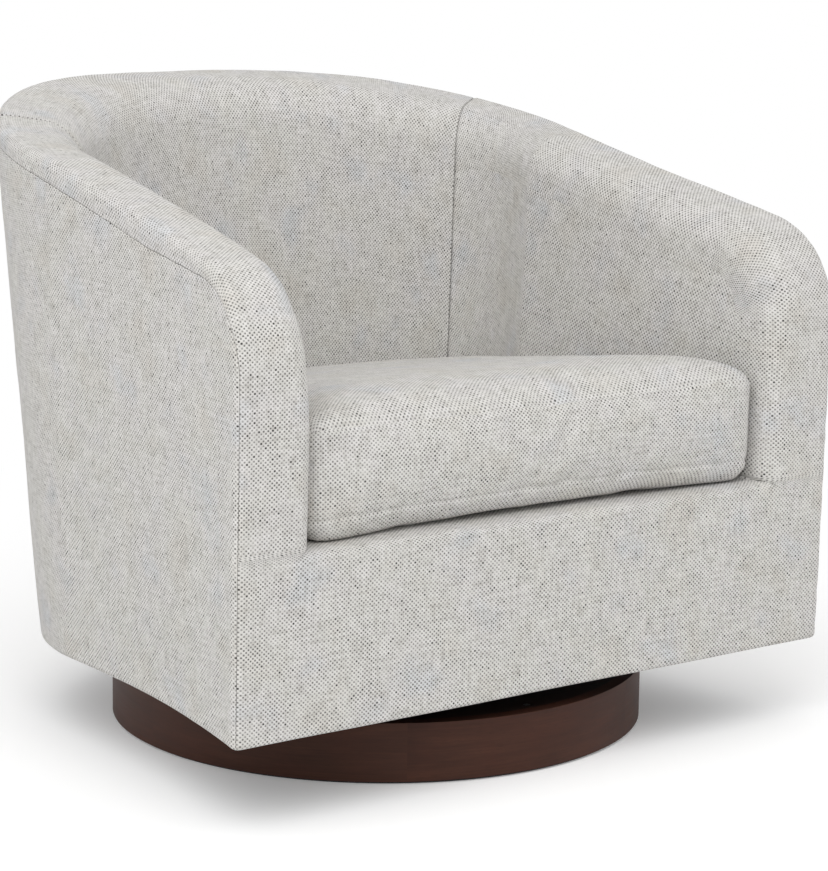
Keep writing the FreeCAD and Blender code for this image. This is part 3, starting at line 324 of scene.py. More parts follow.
@dataclass(frozen=True)
class PlainSurface:
    """A finish with mottled colour and a fine surface relief on object coordinates."""

    name: str
    first: str
    second: str
    size: float
    roughness: float
    metallic: float = 0.0
    relief: float = 0.05 * MM
    stretch: tuple[float, float, float] = (1.0, 1.0, 1.0)
    rough_spread: float = 0.12
    sheen: float = 0.0

    def build(self) -> bpy.types.Material:
        """Make the finish.

        Returns:
            The material.
        """
        material, tree, surface = new_material(self.name)
        node = partial(add, tree)
        place = node("TexCoord", output="Object")
        mapped = node("Mapping", {0: place, "Scale": self.stretch})
        mottle = node("TexNoise", {"Vector": mapped, "Scale": 1 / self.size, "Detail": 5.0,
                                   "Roughness": 0.62})
        wear = node("TexNoise", {"Vector": place, "Scale": 0.12 / self.size, "Detail": 2.0})
        worn = node("Math", (wear, 0.3), operation="MULTIPLY")
        blend = node("Math", (mottle, 0.7, worn), operation="MULTIPLY_ADD")
        colour = node("ValToRGB", (blend,), stops=((0.32, self.first), (0.68, self.second)))
        rough = node("Math", (wear, self.rough_spread, self.roughness - self.rough_spread / 2),
                     operation="MULTIPLY_ADD")
        bump = node("Bump", {"Strength": 0.5, "Distance": self.relief, "Height": mottle})
        shader = node("BsdfPrincipled", {
            "Base Color": colour, "Roughness": rough, "Metallic": self.metallic, "Sheen Weight": self.sheen,
            "Normal": bump,
        })
        tree.links.new(shader, surface)
        return material


class Finish(Enum):
    """Every finish on the chair."""

    # Thick and thin yarns in a plain weave: matt, soft at the edges, speckled with shade painted into the
    # weave's gaps
    UPHOLSTERY = WovenCloth()
    # Stained and lacquered veneer: satin, warm brown, grain round the hoop
    VENEER = StainedVeneer()
    # The same stain rolled on the plinth's top board: darker and duller
    DARK_BOARD = StainedVeneer(name="stained_plywood_board", dark="#170f0c", middle="#211611",
                               light="#2c1d16", red="#2a1610", roughness=0.55, flat=True,
                               grain_width=4 * MM)
    # Sawn plywood ring: pale, dry, with broad grain
    BOARD = PlainSurface("birch_plywood_board", "#b58f5f", "#d1b17f", 14 * MM, 0.75,
                         stretch=(0.15, 1.0, 1.0))
    # Planed pine blocks and cleats: yellowish, grain upright
    SOFTWOOD = PlainSurface("planed_pine", "#c79f66", "#e0c08a", 9 * MM, 0.7, stretch=(1.0, 1.0, 0.12))
    # Kiln-dried beech rails: pinkish tan, smooth
    HARDWOOD = PlainSurface("planed_beech", "#b98b5c", "#cfa477", 7 * MM, 0.62, stretch=(0.12, 1.0, 1.0))
    # Rotary-cut frame plywood: tan, with wide streaks
    PLYWOOD = PlainSurface("frame_plywood", "#b89463", "#d4b585", 12 * MM, 0.72, stretch=(0.2, 1.0, 0.3))
    # Pressed wool felt: matt charcoal with a fibrous surface
    FELT = PlainSurface("pressed_wool_felt", "#2a2a2b", "#48474a", 1.6 * MM, 0.95, relief=0.3 * MM,
                        sheen=0.3)
    # Bright zinc plate: cool grey metal with faint clouding
    ZINC_STEEL = PlainSurface("zinc_plated_steel", "#9fa3a6", "#c3c7ca", 4 * MM, 0.34, metallic=1.0)
    # Hardened and ground steel: the brightest metal in the chair
    BEARING_STEEL = PlainSurface("ground_bearing_steel", "#a7a9ab", "#c9cbcc", 3 * MM, 0.2, metallic=1.0)
    # Black powder coat: even, semi-matt, with a fine peel
    BLACK_STEEL = PlainSurface("black_powder_coated_steel", "#141415", "#1f1f21", 1.4 * MM, 0.48,
                               relief=0.08 * MM)
    # Oil-tempered wire: dark blue-grey metal
    SPRING_STEEL = PlainSurface("oil_tempered_spring_wire", "#3b3d42", "#5b5e63", 5 * MM, 0.36, metallic=1.0)
    # Moulded nylon bushes: milky and faintly glossy
    NYLON = PlainSurface("moulded_nylon", "#dcdad2", "#efeee8", 6 * MM, 0.4)
    # Moulded black rubber stops: dull and dark
    RUBBER = PlainSurface("moulded_rubber", "#161616", "#242424", 3 * MM, 0.8)
    # Spunbonded polypropylene dust cloth: matt black with a dimpled bond pattern
    DUST_CLOTH = PlainSurface("spunbonded_dust_cloth", "#131314", "#262629", 1.5 * MM, 0.88,
                              relief=0.2 * MM)
    # Needled felt deck under the loose cushion: off-white, matt and soft
    DECK_FELT = PlainSurface("needled_deck_felt", "#c9c6bf", "#dbd8d1", 2.5 * MM, 0.94, relief=0.3 * MM,
                             sheen=0.2)


MATERIALS: dict[Finish, bpy.types.Material] = {}


def material_of(finish: Finish) -> bpy.types.Material:
    """Give the finish's material, made on first use.

    Args:
        finish: The finish.

    Returns:
        Its material.
    """
    if finish not in MATERIALS:
        MATERIALS[finish] = finish.value.build()
    return MATERIALS[finish]


def finish_nodes(finish: Finish, *names: str) -> None:
    """Give carried-over nodes their finish.

    Args:
        finish: The finish that the nodes get.
        names: Names of the nodes.
    """
    for name in names:
        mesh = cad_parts[name].data
        mesh.materials.clear()
        mesh.materials.append(material_of(finish))
        LOG.info("%s finished in %s", name, finish.value.name)


def new_piece(name: str, form: bmesh.types.BMesh, smooth: bool = False) -> bpy.types.Object:
    """Turn a finished form into a piece at the origin.

    Args:
        name: Name of the piece.
        form: Its form, which is freed.
        smooth: Whether its faces are shaded smooth.

    Returns:
        The piece, with no material yet.
    """
    mesh = bpy.data.meshes.new(name)
    form.to_mesh(mesh)
    form.free()
    if smooth:
        mesh.shade_smooth()
    piece = bpy.data.objects.new(name, mesh)
    bpy.context.scene.collection.objects.link(piece)
    return piece


def quarter_roll(distance: np.ndarray, radius: float) -> np.ndarray:
    """How deep a surface rolls under within a radius of its edge."""
    inside = np.clip(radius - np.asarray(distance, dtype=float), 0.0, radius)
    return radius - np.sqrt(radius ** 2 - inside ** 2)


def spaced(start: float, end: float, step: float) -> np.ndarray:
    """Even places from start to end, about a step apart."""
    count = max(1, int(round(abs(end - start) / step)))
    return np.linspace(start, end, count + 1)


def run_length(points: np.ndarray) -> np.ndarray:
    """Distance along a line of points, from its first to each."""
    return np.concatenate([[0.0], np.cumsum(np.linalg.norm(np.diff(points, axis=0), axis=-1))])


@dataclass
class Patch:
    """A grid of surface points with its cloth coordinates and its distance from a seam."""

    points: np.ndarray
    weave: np.ndarray
    seam: np.ndarray

    def mirrored(self) -> "Patch":
        """The same patch on the other side of the chair."""
        return Patch(self.points * (-1, 1, 1), self.weave * (-1, 1), self.seam)

    def both_halves(self) -> "Patch":
        """Join the patch with its mirror image at its last column, which lies on the middle.

        Returns:
            One patch across the middle.
        """
        points = np.concatenate([self.points, self.points[:, -2::-1] * (-1, 1, 1)], axis=1)
        far = self.weave[:, -2::-1].copy()
        far[..., :1] = 2 * self.weave[:, -1:, :1] - far[..., :1]
        weave = np.concatenate([self.weave, far], axis=1)
        return Patch(points, weave, np.concatenate([self.seam, self.seam[:, -2::-1]], axis=1))

    def lay(self, form: bmesh.types.BMesh, weave: bmesh.types.BMLayerItem,
            seam: bmesh.types.BMLayerItem) -> None:
        """Add the patch to a form as a grid whose points are moved to their places.

        Args:
            form: The form.
            weave: Its layer for cloth coordinates.
            seam: Its layer for the distance from a seam.
        """
        rows, columns = self.seam.shape
        made = bmesh.ops.create_grid(form, x_segments=columns - 1, y_segments=rows - 1, size=1.0)["verts"]
        places = {}
        for vert in made:
            column = round((vert.co.x + 1) / 2 * (columns - 1))
            row = round((vert.co.y + 1) / 2 * (rows - 1))
            places[vert] = (row, column)
        for face in {face for vert in made for face in vert.link_faces}:
            for loop in face.loops:
                loop[weave].uv = self.weave[places[loop.vert]]
        for vert, place in places.items():
            vert.co = self.points[place]
            vert[seam] = self.seam[place]


def joined(patches: list[Patch], reach: float) -> bmesh.types.BMesh:
    """Lay patches into one form and join their edges.

    Args:
        patches: The patches.
        reach: Distance within which points become one.

    Returns:
        The form, with its cloth coordinates in "weave" and its distances in "seam".
    """
    form = bmesh.new()
    weave = form.loops.layers.uv.new("weave")
    seam = form.verts.layers.float.new("seam")
    for patch in patches:
        patch.lay(form, weave, seam)
    bmesh.ops.remove_doubles(form, verts=form.verts, dist=reach)
    bmesh.ops.recalc_face_normals(form, faces=form.faces)
    return form


@dataclass
class Cover:
    """One fixed cover: patches that are sewn together, drawn in at the seams and given a wall."""

    name: str
    outward: Callable[[Vector], Vector]
    patches: list[Patch]
    hemmed: bool = True
    join: float = 0.02 * MM
    seam_round: float = 1.5 * MM
    corner_round: float = 1.2 * MM
    corner_line: float = -295 * MM
    hem_round: float = 6 * MM
    hem_height: float = 90 * MM
    wall: float = 3.5 * MM
    pucker: float = 0.9 * MM
    pucker_length: float = 14 * MM
    pucker_reach: float = 13 * MM
    unevenness: float = 1.6 * MM
    uneven_length: float = 150 * MM
    dimple: float = 0.35 * MM
    dimple_length: float = 38 * MM

    def build(self) -> bpy.types.Object:
        """Join the patches, turn them outwards and sink their seams.

        Returns:
            The finished cover with a wall turned inwards.
        """
        form = joined(self.patches, self.join)
        seam = form.verts.layers.float["seam"]
        vote = sum(face.normal.dot(self.outward(face.calc_center_median())) * face.calc_area()
                   for face in form.faces)
        if vote < 0:
            bmesh.ops.reverse_faces(form, faces=form.faces)
        form.normal_update()
        moves = [(vert, vert.normal * self.rise(vert.co, vert[seam])) for vert in form.verts]
        for vert, move in moves:
            vert.co += move
        cover = new_piece(self.name, form, smooth=True)
        thickness = cover.modifiers.new("cloth and wadding", "SOLIDIFY")
        thickness.thickness = self.wall
        thickness.offset = -1.0
        cover.data.materials.append(material_of(Finish.UPHOLSTERY))
        LOG.info("%s: %d faces", self.name, len(cover.data.polygons))
        return cover

    def rise(self, place: Vector, distance: float) -> float:
        """Tell how far the cloth stands out of its true surface.

        Args:
            place: Place on the cover.
            distance: Its distance from the nearest seam.

        Returns:
            The height, which is below nought where the cloth is drawn in.
        """
        at_corner = place.y < self.corner_line and self.hemmed
        sink = float(quarter_roll(distance, self.corner_round if at_corner else self.seam_round))
        if self.hemmed:
            sink += float(quarter_roll(place.z - self.hem_height, self.hem_round))
        near = math.exp(-distance / self.pucker_reach)
        folds = noise.noise(place / self.pucker_length) * self.pucker * near
        waves = noise.noise(place / self.uneven_length) * self.unevenness
        dimples = noise.noise(place / self.dimple_length) * self.dimple
        return folds + waves + dimples - sink


@dataclass(frozen=True)
class ShellPlan:
    """Plan outlines of the shell: side arcs, corner arcs and one wide back arc."""

    bottom: float = 90 * MM
    reference: float = 698 * MM
    front_low: float = 312 * MM
    front_lean: float = 9 * MM
    front_half: float = 406 * MM
    side_draw: float = 47 * MM
    side_lean: float = 25 * MM
    shoulder_low: float = 90 * MM
    shoulder_shift: float = 45 * MM
    corner_low: float = 230 * MM
    corner_growth: float = 20 * MM
    back_low: float = 366.7 * MM
    back_lean: float = 97.5 * MM
    arm: float = 92 * MM
    back: float = 112 * MM
    straight_end: float = 90 * MM
    turn_run: float = 225 * MM
    back_reach: float = 455 * MM
    seam_turn: float = math.radians(38)

    @property
    def seam_place(self) -> float:
        """Place along the wall where the arm meets the back."""
        return self.straight_end + self.turn_run

    @property
    def middle_place(self) -> float:
        """Place along the wall at the middle of the back."""
        return self.seam_place + (math.pi / 2 - self.seam_turn) * self.back_reach

    def ray(self, place: np.ndarray) -> tuple[np.ndarray, np.ndarray]:
        """Lay a level line across the wall.

        Args:
            place: Places along the wall.

        Returns:
            The line's start on the middle plane and its turn, at each place.
        """
        share = np.clip((place - self.straight_end) / self.turn_run, 0, 1)
        base = np.minimum(place, self.straight_end) * (1 - share)
        turn = share * self.seam_turn + np.maximum(place - self.seam_place, 0) / self.back_reach
        return base, turn

    def hit(self, place: np.ndarray, z: np.ndarray, side_inset: float, back_inset: float) -> np.ndarray:
        """Points where the lines across the wall meet an outline.

        Args:
            place: Places along the wall.
            z: Heights.
            side_inset: How far the outline is drawn in at the sides.
            back_inset: How far it is drawn in at the corners and back.

        Returns:
            The x and y of each point, last in the array.
        """
        place, z = np.broadcast_arrays(place, z)
        base, turn = self.ray(place)
        share = (z - self.bottom) / (self.reference - self.bottom)
        front_y = -self.front_low - self.front_lean * share
        front_x = self.front_half - side_inset
        half_x = front_x - self.side_draw + self.side_lean * share
        shoulder = self.shoulder_low + self.shoulder_shift * share
        corner = self.corner_low + self.corner_growth * share - back_inset
        back_y = self.back_low + self.back_lean * share - back_inset
        splay = front_x - half_x
        side_radius = (splay ** 2 + (shoulder - front_y) ** 2) / (2 * splay)
        corner_x = half_x - corner
        behind = shoulder - back_y
        back_radius = (corner_x ** 2 + behind ** 2 - corner ** 2) / (-2 * behind - 2 * corner)
        sweep = np.arctan2(shoulder - back_y + back_radius, corner_x)
        ways = np.cos(turn), np.sin(turn)

        def reach(centre_x: np.ndarray | float, centre_y: np.ndarray, radius: np.ndarray,
                  side: int) -> np.ndarray:
            """Follow the line to a circle.

            Args:
                centre_x: The circle's centre, from side to side.
                centre_y: The same from front to back.
                radius: Its radius.
                side: -1 for its near side and 1 for its far one.

            Returns:
                The distance along the line.
            """
            off_y = centre_y - base
            along = centre_x * ways[0] + off_y * ways[1]
            inside = radius ** 2 - (centre_x ** 2 + off_y ** 2 - along ** 2)
            return along + side * np.sqrt(np.maximum(inside, 0))

        on_corner = reach(corner_x, shoulder, corner, 1)
        on_side = reach(half_x + side_radius, shoulder, side_radius, -1)
        on_back = reach(0.0, back_y - back_radius, back_radius, 1)
        corner_rise = base + on_corner * ways[1] - shoulder
        corner_turn = np.arctan2(corner_rise, on_corner * ways[0] - corner_x)
        far = np.where(corner_rise < 0, on_side, np.where(corner_turn > sweep, on_back, on_corner))
        return np.stack([far * ways[0], base + far * ways[1]], axis=-1)

    def across(self, place: np.ndarray, z: np.ndarray, share: np.ndarray) -> np.ndarray:
        """Go a share of the way through the wall, from its outer to its inner face.

        Args:
            place: Places along the wall.
            z: Heights.
            share: Share of the way at each.

        Returns:
            The x and y of each point, last in the array.
        """
        outer = self.hit(place, z, 0.0, 0.0)
        inner = self.hit(place, z, self.arm, self.back)
        share = np.broadcast_to(share, outer.shape[:-1])[..., None]
        return outer + (inner - outer) * share

    def thickness(self, place: np.ndarray, z: np.ndarray) -> np.ndarray:
        """Thickness of the wall at places along it and heights."""
        outer, inner = self.hit(place, z, 0.0, 0.0), self.hit(place, z, self.arm, self.back)
        return np.linalg.norm(outer - inner, axis=-1)


@dataclass(frozen=True)
class SideProfile:
    """Side view of the shell: leaning front, round arm end and rising crest."""

    plan: ShellPlan = ShellPlan()
    arm_height: float = 559.5 * MM
    slope: float = 0.209
    knee: float = 405 * MM
    knee_half: float = 60 * MM
    front_round: float = 108 * MM

    @property
    def rise(self) -> float:
        """Angle of the crest line."""
        return math.atan(self.slope)

    @property
    def lean(self) -> float:
        """Angle of the front face from upright."""
        return math.atan(self.plan.front_lean / (self.plan.reference - self.plan.bottom))

    def front_y(self, z: np.ndarray) -> np.ndarray:
        """Front face at a height."""
        return -self.plan.front_low - math.tan(self.lean) * (z - self.plan.bottom)

    def crest(self, y: np.ndarray) -> tuple[np.ndarray, np.ndarray]:
        """Follow the crest line: rising over the arms, rounded at the knee and level behind it.

        Args:
            y: Depths from front to back.

        Returns:
            The line's height and its slope angle at each.
        """
        line_z = self.arm_height + self.slope * (y + self.plan.front_low)
        start_y = self.knee - math.cos(self.rise) * self.knee_half
        end_y = self.knee + self.knee_half
        level = self.arm_height + self.slope * (self.knee + self.plan.front_low)
        radius = self.knee_half / math.tan(self.rise / 2)
        turn = np.arcsin(np.clip((end_y - y) / radius, -1, 1))
        round_z = level - radius + radius * np.cos(turn)
        z = np.where(y < start_y, line_z, np.where(y > end_y, level, round_z))
        angle = np.where(y < start_y, self.rise, np.where(y > end_y, 0.0, turn))
        return z, angle

    def arc_centre(self) -> tuple[float, float]:
        """Find the centre of the round at the arm's front.

        Returns:
            Its y and its height.
        """
        lean, rise, radius = self.lean, self.rise, self.front_round
        front_flat = float(self.front_y(0.0)) + radius / math.cos(lean)
        crest_flat = self.arm_height + self.slope * self.plan.front_low - radius / math.cos(rise)
        z = (crest_flat + self.slope * front_flat) / (1 + self.slope * math.tan(lean))
        return front_flat - math.tan(lean) * z, z


@dataclass
class Stations:
    """Places along the padded edge of the wall, with the way into the padding at each."""

    place: np.ndarray
    z: np.ndarray
    in_place: np.ndarray
    in_z: np.ndarray
    upright: np.ndarray
    run: np.ndarray
    seam: np.ndarray
    inner: np.ndarray

    def part(self, stretch: slice) -> "Stations":
        """A stretch of the stations."""
        return Stations(*(getattr(self, name)[stretch] for name in self.__dataclass_fields__))


@dataclass
class PaddedWall:
    """The rolled padding over the wall: its stations, sections and faces."""

    plan: ShellPlan = field(default_factory=ShellPlan)
    profile: SideProfile = field(default_factory=SideProfile)
    step: float = 5 * MM
    outer_roll: float = 12 * MM
    inner_roll: float = 42 * MM
    front_roll: float = 20 * MM
    arm_seam: float = 26 * MM
    end_seam: float = 20 * MM
    seam_stations: int = 20
    roll_stations: int = 8
    back_seam: float = 16 * MM
    skirt: float = 18 * MM
    rim: float = 10 * MM
    rail_top: float = 283 * MM
    rail_round: float = 10 * MM
    lean_height: float = 100 * MM
    settle_rounds: int = 5
    seam_fan: tuple[float, ...] = (0.0, 0.5 * MM, 1.2 * MM, 2.1 * MM, 3.3 * MM, 5.5 * MM)

    def stations(self, first_z: np.ndarray, last_place: float) -> Stations:
        """Stations up the front face, round the arm's front and along the crest.

        Args:
            first_z: Heights of the stations on the front face.
            last_place: Place along the wall where they end.

        Returns:
            The stations in order.
        """
        profile, plan = self.profile, self.plan
        lean, rise, radius = profile.lean, profile.rise, profile.front_round
        centre_y, centre_z = profile.arc_centre()
        turns = spaced(math.pi + lean, math.pi / 2 + rise, self.step / radius)
        arc_y = centre_y + radius * np.cos(turns)
        arc_z = centre_z + radius * np.sin(turns)
        slope = spaced(float(arc_y[-1]), last_place, self.step)[1:]
        tip = np.clip((first_z - self.rail_top) / self.lean_height, 0, 1)
        place = np.concatenate([profile.front_y(first_z), arc_y, slope])
        z = np.concatenate([first_z, arc_z, profile.crest(np.minimum(slope, plan.straight_end))[0]])
        in_place = np.concatenate([np.full_like(first_z, math.cos(lean)), -np.cos(turns),
                                   np.full_like(slope, math.sin(rise))])
        in_z = np.concatenate([math.sin(lean) * tip, -np.sin(turns), np.full_like(slope, -math.cos(rise))])
        fade = np.clip((slope - arc_y[-1]) / (plan.straight_end - arc_y[-1]), 0, 1)
        upright = np.concatenate([np.full_like(first_z, -1.0), np.full_like(turns, -1.0), fade])
        run = np.concatenate([[0.0], np.cumsum(np.hypot(np.diff(place), np.diff(z)))])
        run += z[0]
        number, foot = np.arange(len(place)), len(first_z)
        corner, end_seam = self.outer_roll * math.pi / 4, self.outer_roll - self.end_seam
        top = foot + len(turns)
        seam = np.interp(number, [0, foot, top, top + self.seam_stations, len(place)],
                         [corner, corner, end_seam, self.outer_roll - self.arm_seam, end_seam])
        inner = np.interp(number, [0, foot - self.roll_stations, foot + len(turns) // 2, len(place)],
                          [self.front_roll, self.front_roll, self.inner_roll, self.inner_roll])
        return Stations(place, z, in_place, in_z, upright, run, seam, inner)

    def flat_end(self, thickness: np.ndarray, inner: np.ndarray) -> np.ndarray:
        """Distance along the section at which its flat top ends."""
        return self.outer_roll * math.pi / 2 + thickness - self.outer_roll - inner

    def roll(self, sigma: np.ndarray, thickness: np.ndarray,
             inner: np.ndarray) -> tuple[np.ndarray, np.ndarray]:
        """Find the place on the padded section at a distance along it.

        Args:
            sigma: Distance along the section from the foot of the outer round.
            thickness: Thickness of the wall.
            inner: Radius of the round towards the seat.

        Returns:
            The distance in from the outer face and the depth under the crest.
        """
        outer = self.outer_roll
        first = outer * math.pi / 2
        second = self.flat_end(thickness, inner)
        third = second + inner * math.pi / 2
        outer_turn = np.clip(sigma / outer, 0, math.pi / 2)
        inner_turn = np.clip((sigma - second) / inner, 0, math.pi / 2)
        across = (outer * (1 - np.cos(outer_turn)) + np.clip(sigma - first, 0, second - first)
                  + inner * np.sin(inner_turn))
        depth = (outer * (1 - np.sin(outer_turn)) + np.maximum(-sigma, 0) + inner * (1 - np.cos(inner_turn))
                 + np.maximum(sigma - third, 0))
        return across, depth

    def surface(self, stations: Stations, across: np.ndarray, depth: np.ndarray,
                thickness: np.ndarray) -> tuple[np.ndarray, np.ndarray, np.ndarray]:
        """Place points on the padding.

        Args:
            stations: The rows.
            across: Distance in from the outer face, one row for each station.
            depth: Depth under the crest, one row for each station.
            thickness: Thickness of the wall at each station.

        Returns:
            The points, and the place along the wall and the height of each.
        """
        share = across / thickness
        upright = stations.upright[:, None]
        front = upright < 0
        tilt = np.where(front, 1.0, 1 - np.maximum(upright, 0))
        place = stations.place[:, None] + depth * stations.in_place[:, None] * tilt
        z = stations.z[:, None] + depth * stations.in_z[:, None]
        for _ in range(self.settle_rounds):
            flat = self.plan.across(place, z, share)
            crest, angle = self.profile.crest(flat[..., 1])
            z = np.where(front, z, crest - depth / np.cos(angle))
        flat = self.plan.across(place, z, share)
        return np.concatenate([flat, z[..., None]], axis=-1), place, z

    def thickness_at(self, stations: Stations) -> np.ndarray:
        """Thickness of the wall at each station, as one column."""
        return self.plan.thickness(stations.place, stations.z)[:, None]

    def face(self, place: np.ndarray, z: np.ndarray, share: float) -> np.ndarray:
        """Points on the outer or inner face of the wall."""
        flat = self.plan.across(place, z, np.full(np.shape(place), share))
        return np.concatenate([flat, z[..., None]], axis=-1)

    def fan(self, length: float) -> np.ndarray:
        """Distances from a seam: close together beside it and then even."""
        return np.concatenate([self.seam_fan, spaced(self.seam_fan[-1], length, self.step)[1:]])

    def stretched(self, fan: np.ndarray, length: np.ndarray) -> np.ndarray:
        """Stretch a fan to another length, apart from its close lines beside the seam.

        Args:
            fan: The distances.
            length: The length at each station, as one column.

        Returns:
            The distances at each station.
        """
        close = self.seam_fan[-1]
        share = (fan - close) / (fan[-1] - close)
        return np.where(fan < close, fan, close + share * (length - close))


def blend_patch(left: np.ndarray, top: np.ndarray, right: np.ndarray, bottom: np.ndarray) -> np.ndarray:
    """Fill a four-sided patch from its edges.

    Args:
        left: Points up the left edge.
        top: Points along the top edge.
        right: Points up the right edge, as many as on the left.
        bottom: Points along the bottom edge, as many as on the top.

    Returns:
        Rows of points from the bottom to the top.
    """
    def shares(points: np.ndarray) -> np.ndarray:
        """Share of the edge's length at each point."""
        length = run_length(points)
        return length / length[-1]

    v = ((shares(left) + shares(right)) / 2)[:, None, None]
    u = ((shares(top) + shares(bottom)) / 2)[None, :, None]
    edges = (1 - v) * bottom[None] + v * top[None] + (1 - u) * left[:, None] + u * right[:, None]
    low_corners = (1 - u) * (1 - v) * bottom[0] + u * (1 - v) * bottom[-1]
    return edges - (low_corners + (1 - u) * v * top[0] + u * v * top[-1])


@dataclass
class Upholstery:
    """Every fixed cover of the shell."""

    wall: PaddedWall = field(default_factory=PaddedWall)
    ledge: float = 60 * MM
    rail_steps: int = 8
    hem_fan: tuple[float, ...] = (0.0, 0.4 * MM, 1.3 * MM, 2.8 * MM, 4.6 * MM, 7.0 * MM)
    hem_level: float = 7.1 * MM
    back_fan: float = 170 * MM
    arm_fan: float = 155 * MM
    side_fan: float = 25 * MM
    side_close: float = 5 * MM
    rim_spare: float = 8 * MM
    seam_fade: float = 150 * MM
    crest_guess: float = 650 * MM
    arm_line: float = 300 * MM
    arm_foot: float = 20 * MM

    def hem_rows(self, top: float) -> np.ndarray:
        """Heights from the hem up, close together at the hem."""
        close = self.wall.plan.bottom + np.array(self.hem_fan)
        return np.concatenate([close, spaced(close[-1], top, self.wall.step)[1:]])

    def back_stations(self) -> Stations:
        """Place stations across the right half of the back, close together at the arm's seam.

        Returns:
            The stations, from the seam to the middle.
        """
        wall, plan = self.wall, self.wall.plan
        place = plan.seam_place + wall.fan(plan.middle_place - plan.seam_place)
        zeros = np.zeros_like(place)
        crest_y = plan.hit(place, self.crest_guess + zeros, 0.0, 0.0)[..., 1]
        seam = wall.outer_roll - np.interp(place, [place[0], place[0] + self.seam_fade],
                                           [wall.end_seam, wall.back_seam])
        return Stations(place, wall.profile.crest(crest_y)[0], zeros, zeros - 1, zeros + 1, place, seam,
                        zeros + wall.inner_roll)

    def inside_back(self) -> Cover:
        """Lay out the cover over the top and inside of the back.

        Returns:
            The cover, before it is sewn.
        """
        wall = self.wall
        stations = self.back_stations()
        thick = wall.thickness_at(stations)
        round_in = stations.inner[:, None]
        seam = stations.seam[:, None]
        skin_end = wall.flat_end(thick, round_in) + round_in * math.pi / 2 + wall.skirt
        distance = wall.stretched(wall.fan(self.back_fan), skin_end - seam)
        across, depth = wall.roll(seam + distance, thick, round_in)
        skin, place, z = wall.surface(stations, across, depth, thick)
        down = spaced(0, 1, wall.step / (z[:, -1].mean() - wall.rail_top))[1:]
        low_z = z[:, -1:] + (wall.rail_top - z[:, -1:]) * down
        inner = wall.face(np.broadcast_to(place[:, -1:], low_z.shape), low_z, 1.0)
        points = np.concatenate([skin, inner], axis=1).transpose(1, 0, 2)
        length = np.concatenate([distance, distance[:, -1:] + (z[:, -1:] - low_z)], axis=1).T
        side = (stations.place - stations.place[0])[None, :]
        weave = np.stack([np.broadcast_to(side, length.shape), -length], axis=-1)
        half = Patch(points, weave, np.minimum(length, side))
        return Cover("inside_back_cover", lambda spot: Vector((-spot.x, -spot.y, 0.35)),
                     [half.both_halves()], hemmed=False)

    def outside_back(self) -> Cover:
        """Lay out the panel over the outside of the back.

        Returns:
            The cover, before it is sewn.
        """
        wall = self.wall
        stations = self.back_stations()
        thick = wall.thickness_at(stations)
        fan = wall.fan(wall.rim + self.rim_spare)
        across, depth = wall.roll(stations.seam[:, None] - fan, thick, stations.inner[:, None])
        rim, place, z = wall.surface(stations, across, depth, thick)
        heights = self.hem_rows(float(z[:, -1].mean()))[::-1]
        foot = heights[-1]
        share = ((heights - foot) / (heights[0] - foot))[1:]
        low_z = z[:, -1:] + (foot - z[:, -1:]) * (1 - share)
        low_z = np.where(heights[1:] < foot + self.hem_level, heights[1:], low_z)
        outer = wall.face(np.broadcast_to(place[:, -1:], low_z.shape), low_z, 0.0)
        points = np.concatenate([rim, outer], axis=1).transpose(1, 0, 2)
        length = np.concatenate([np.broadcast_to(fan, rim.shape[:2]), fan[-1] + z[:, -1:] - low_z], axis=1).T
        side = (stations.place - stations.place[0])[None, :]
        weave = np.stack([np.broadcast_to(side, length.shape), points[..., 2]], axis=-1)
        half = Patch(points, weave, np.minimum(length, side))
        return Cover("outside_back_cover", lambda spot: Vector((spot.x, spot.y, 0.0)), [half.both_halves()])

    def arm_patch(self, stations: Stations, place: np.ndarray, z: np.ndarray, share: float,
                  low: float) -> tuple[np.ndarray, np.ndarray, np.ndarray]:
        """Fill an arm's flat face under its padded edge.

        Args:
            stations: The stations, from the foot of the front.
            place: Place along the wall of the padding's edge at each station.
            z: Height of the padding's edge at each station.
            share: 0 for the outer face and 1 for the inner one.
            low: Height of the foot.

        Returns:
            Points, places along the wall and heights.
        """
        wall = self.wall
        edge = np.stack([place, z], axis=-1)
        on_front = int(np.sum(stations.upright < 0))
        on_face = int(np.sum(stations.z[:on_front] <= wall.profile.arc_centre()[1]))
        corner = (on_front + on_face) // 2
        left, top = edge[:corner + 1], edge[corner:]
        rows = (left[:, 1] - low) / (left[-1, 1] - low)
        right = np.stack([np.full(len(rows), edge[-1, 0]), low + rows * (edge[-1, 1] - low)], axis=-1)
        near = left[:, 1] < low + self.hem_level
        right[near, 1] = left[near, 1]
        along = (top[:, 0] - top[0, 0]) / (top[-1, 0] - top[0, 0])
        bottom = np.stack([left[0, 0] + along * (edge[-1, 0] - left[0, 0]), np.full(len(along), low)],
                          axis=-1)
        grid = blend_patch(left, top, right, bottom)
        return wall.face(grid[..., 0], grid[..., 1], share), grid[..., 0], grid[..., 1]

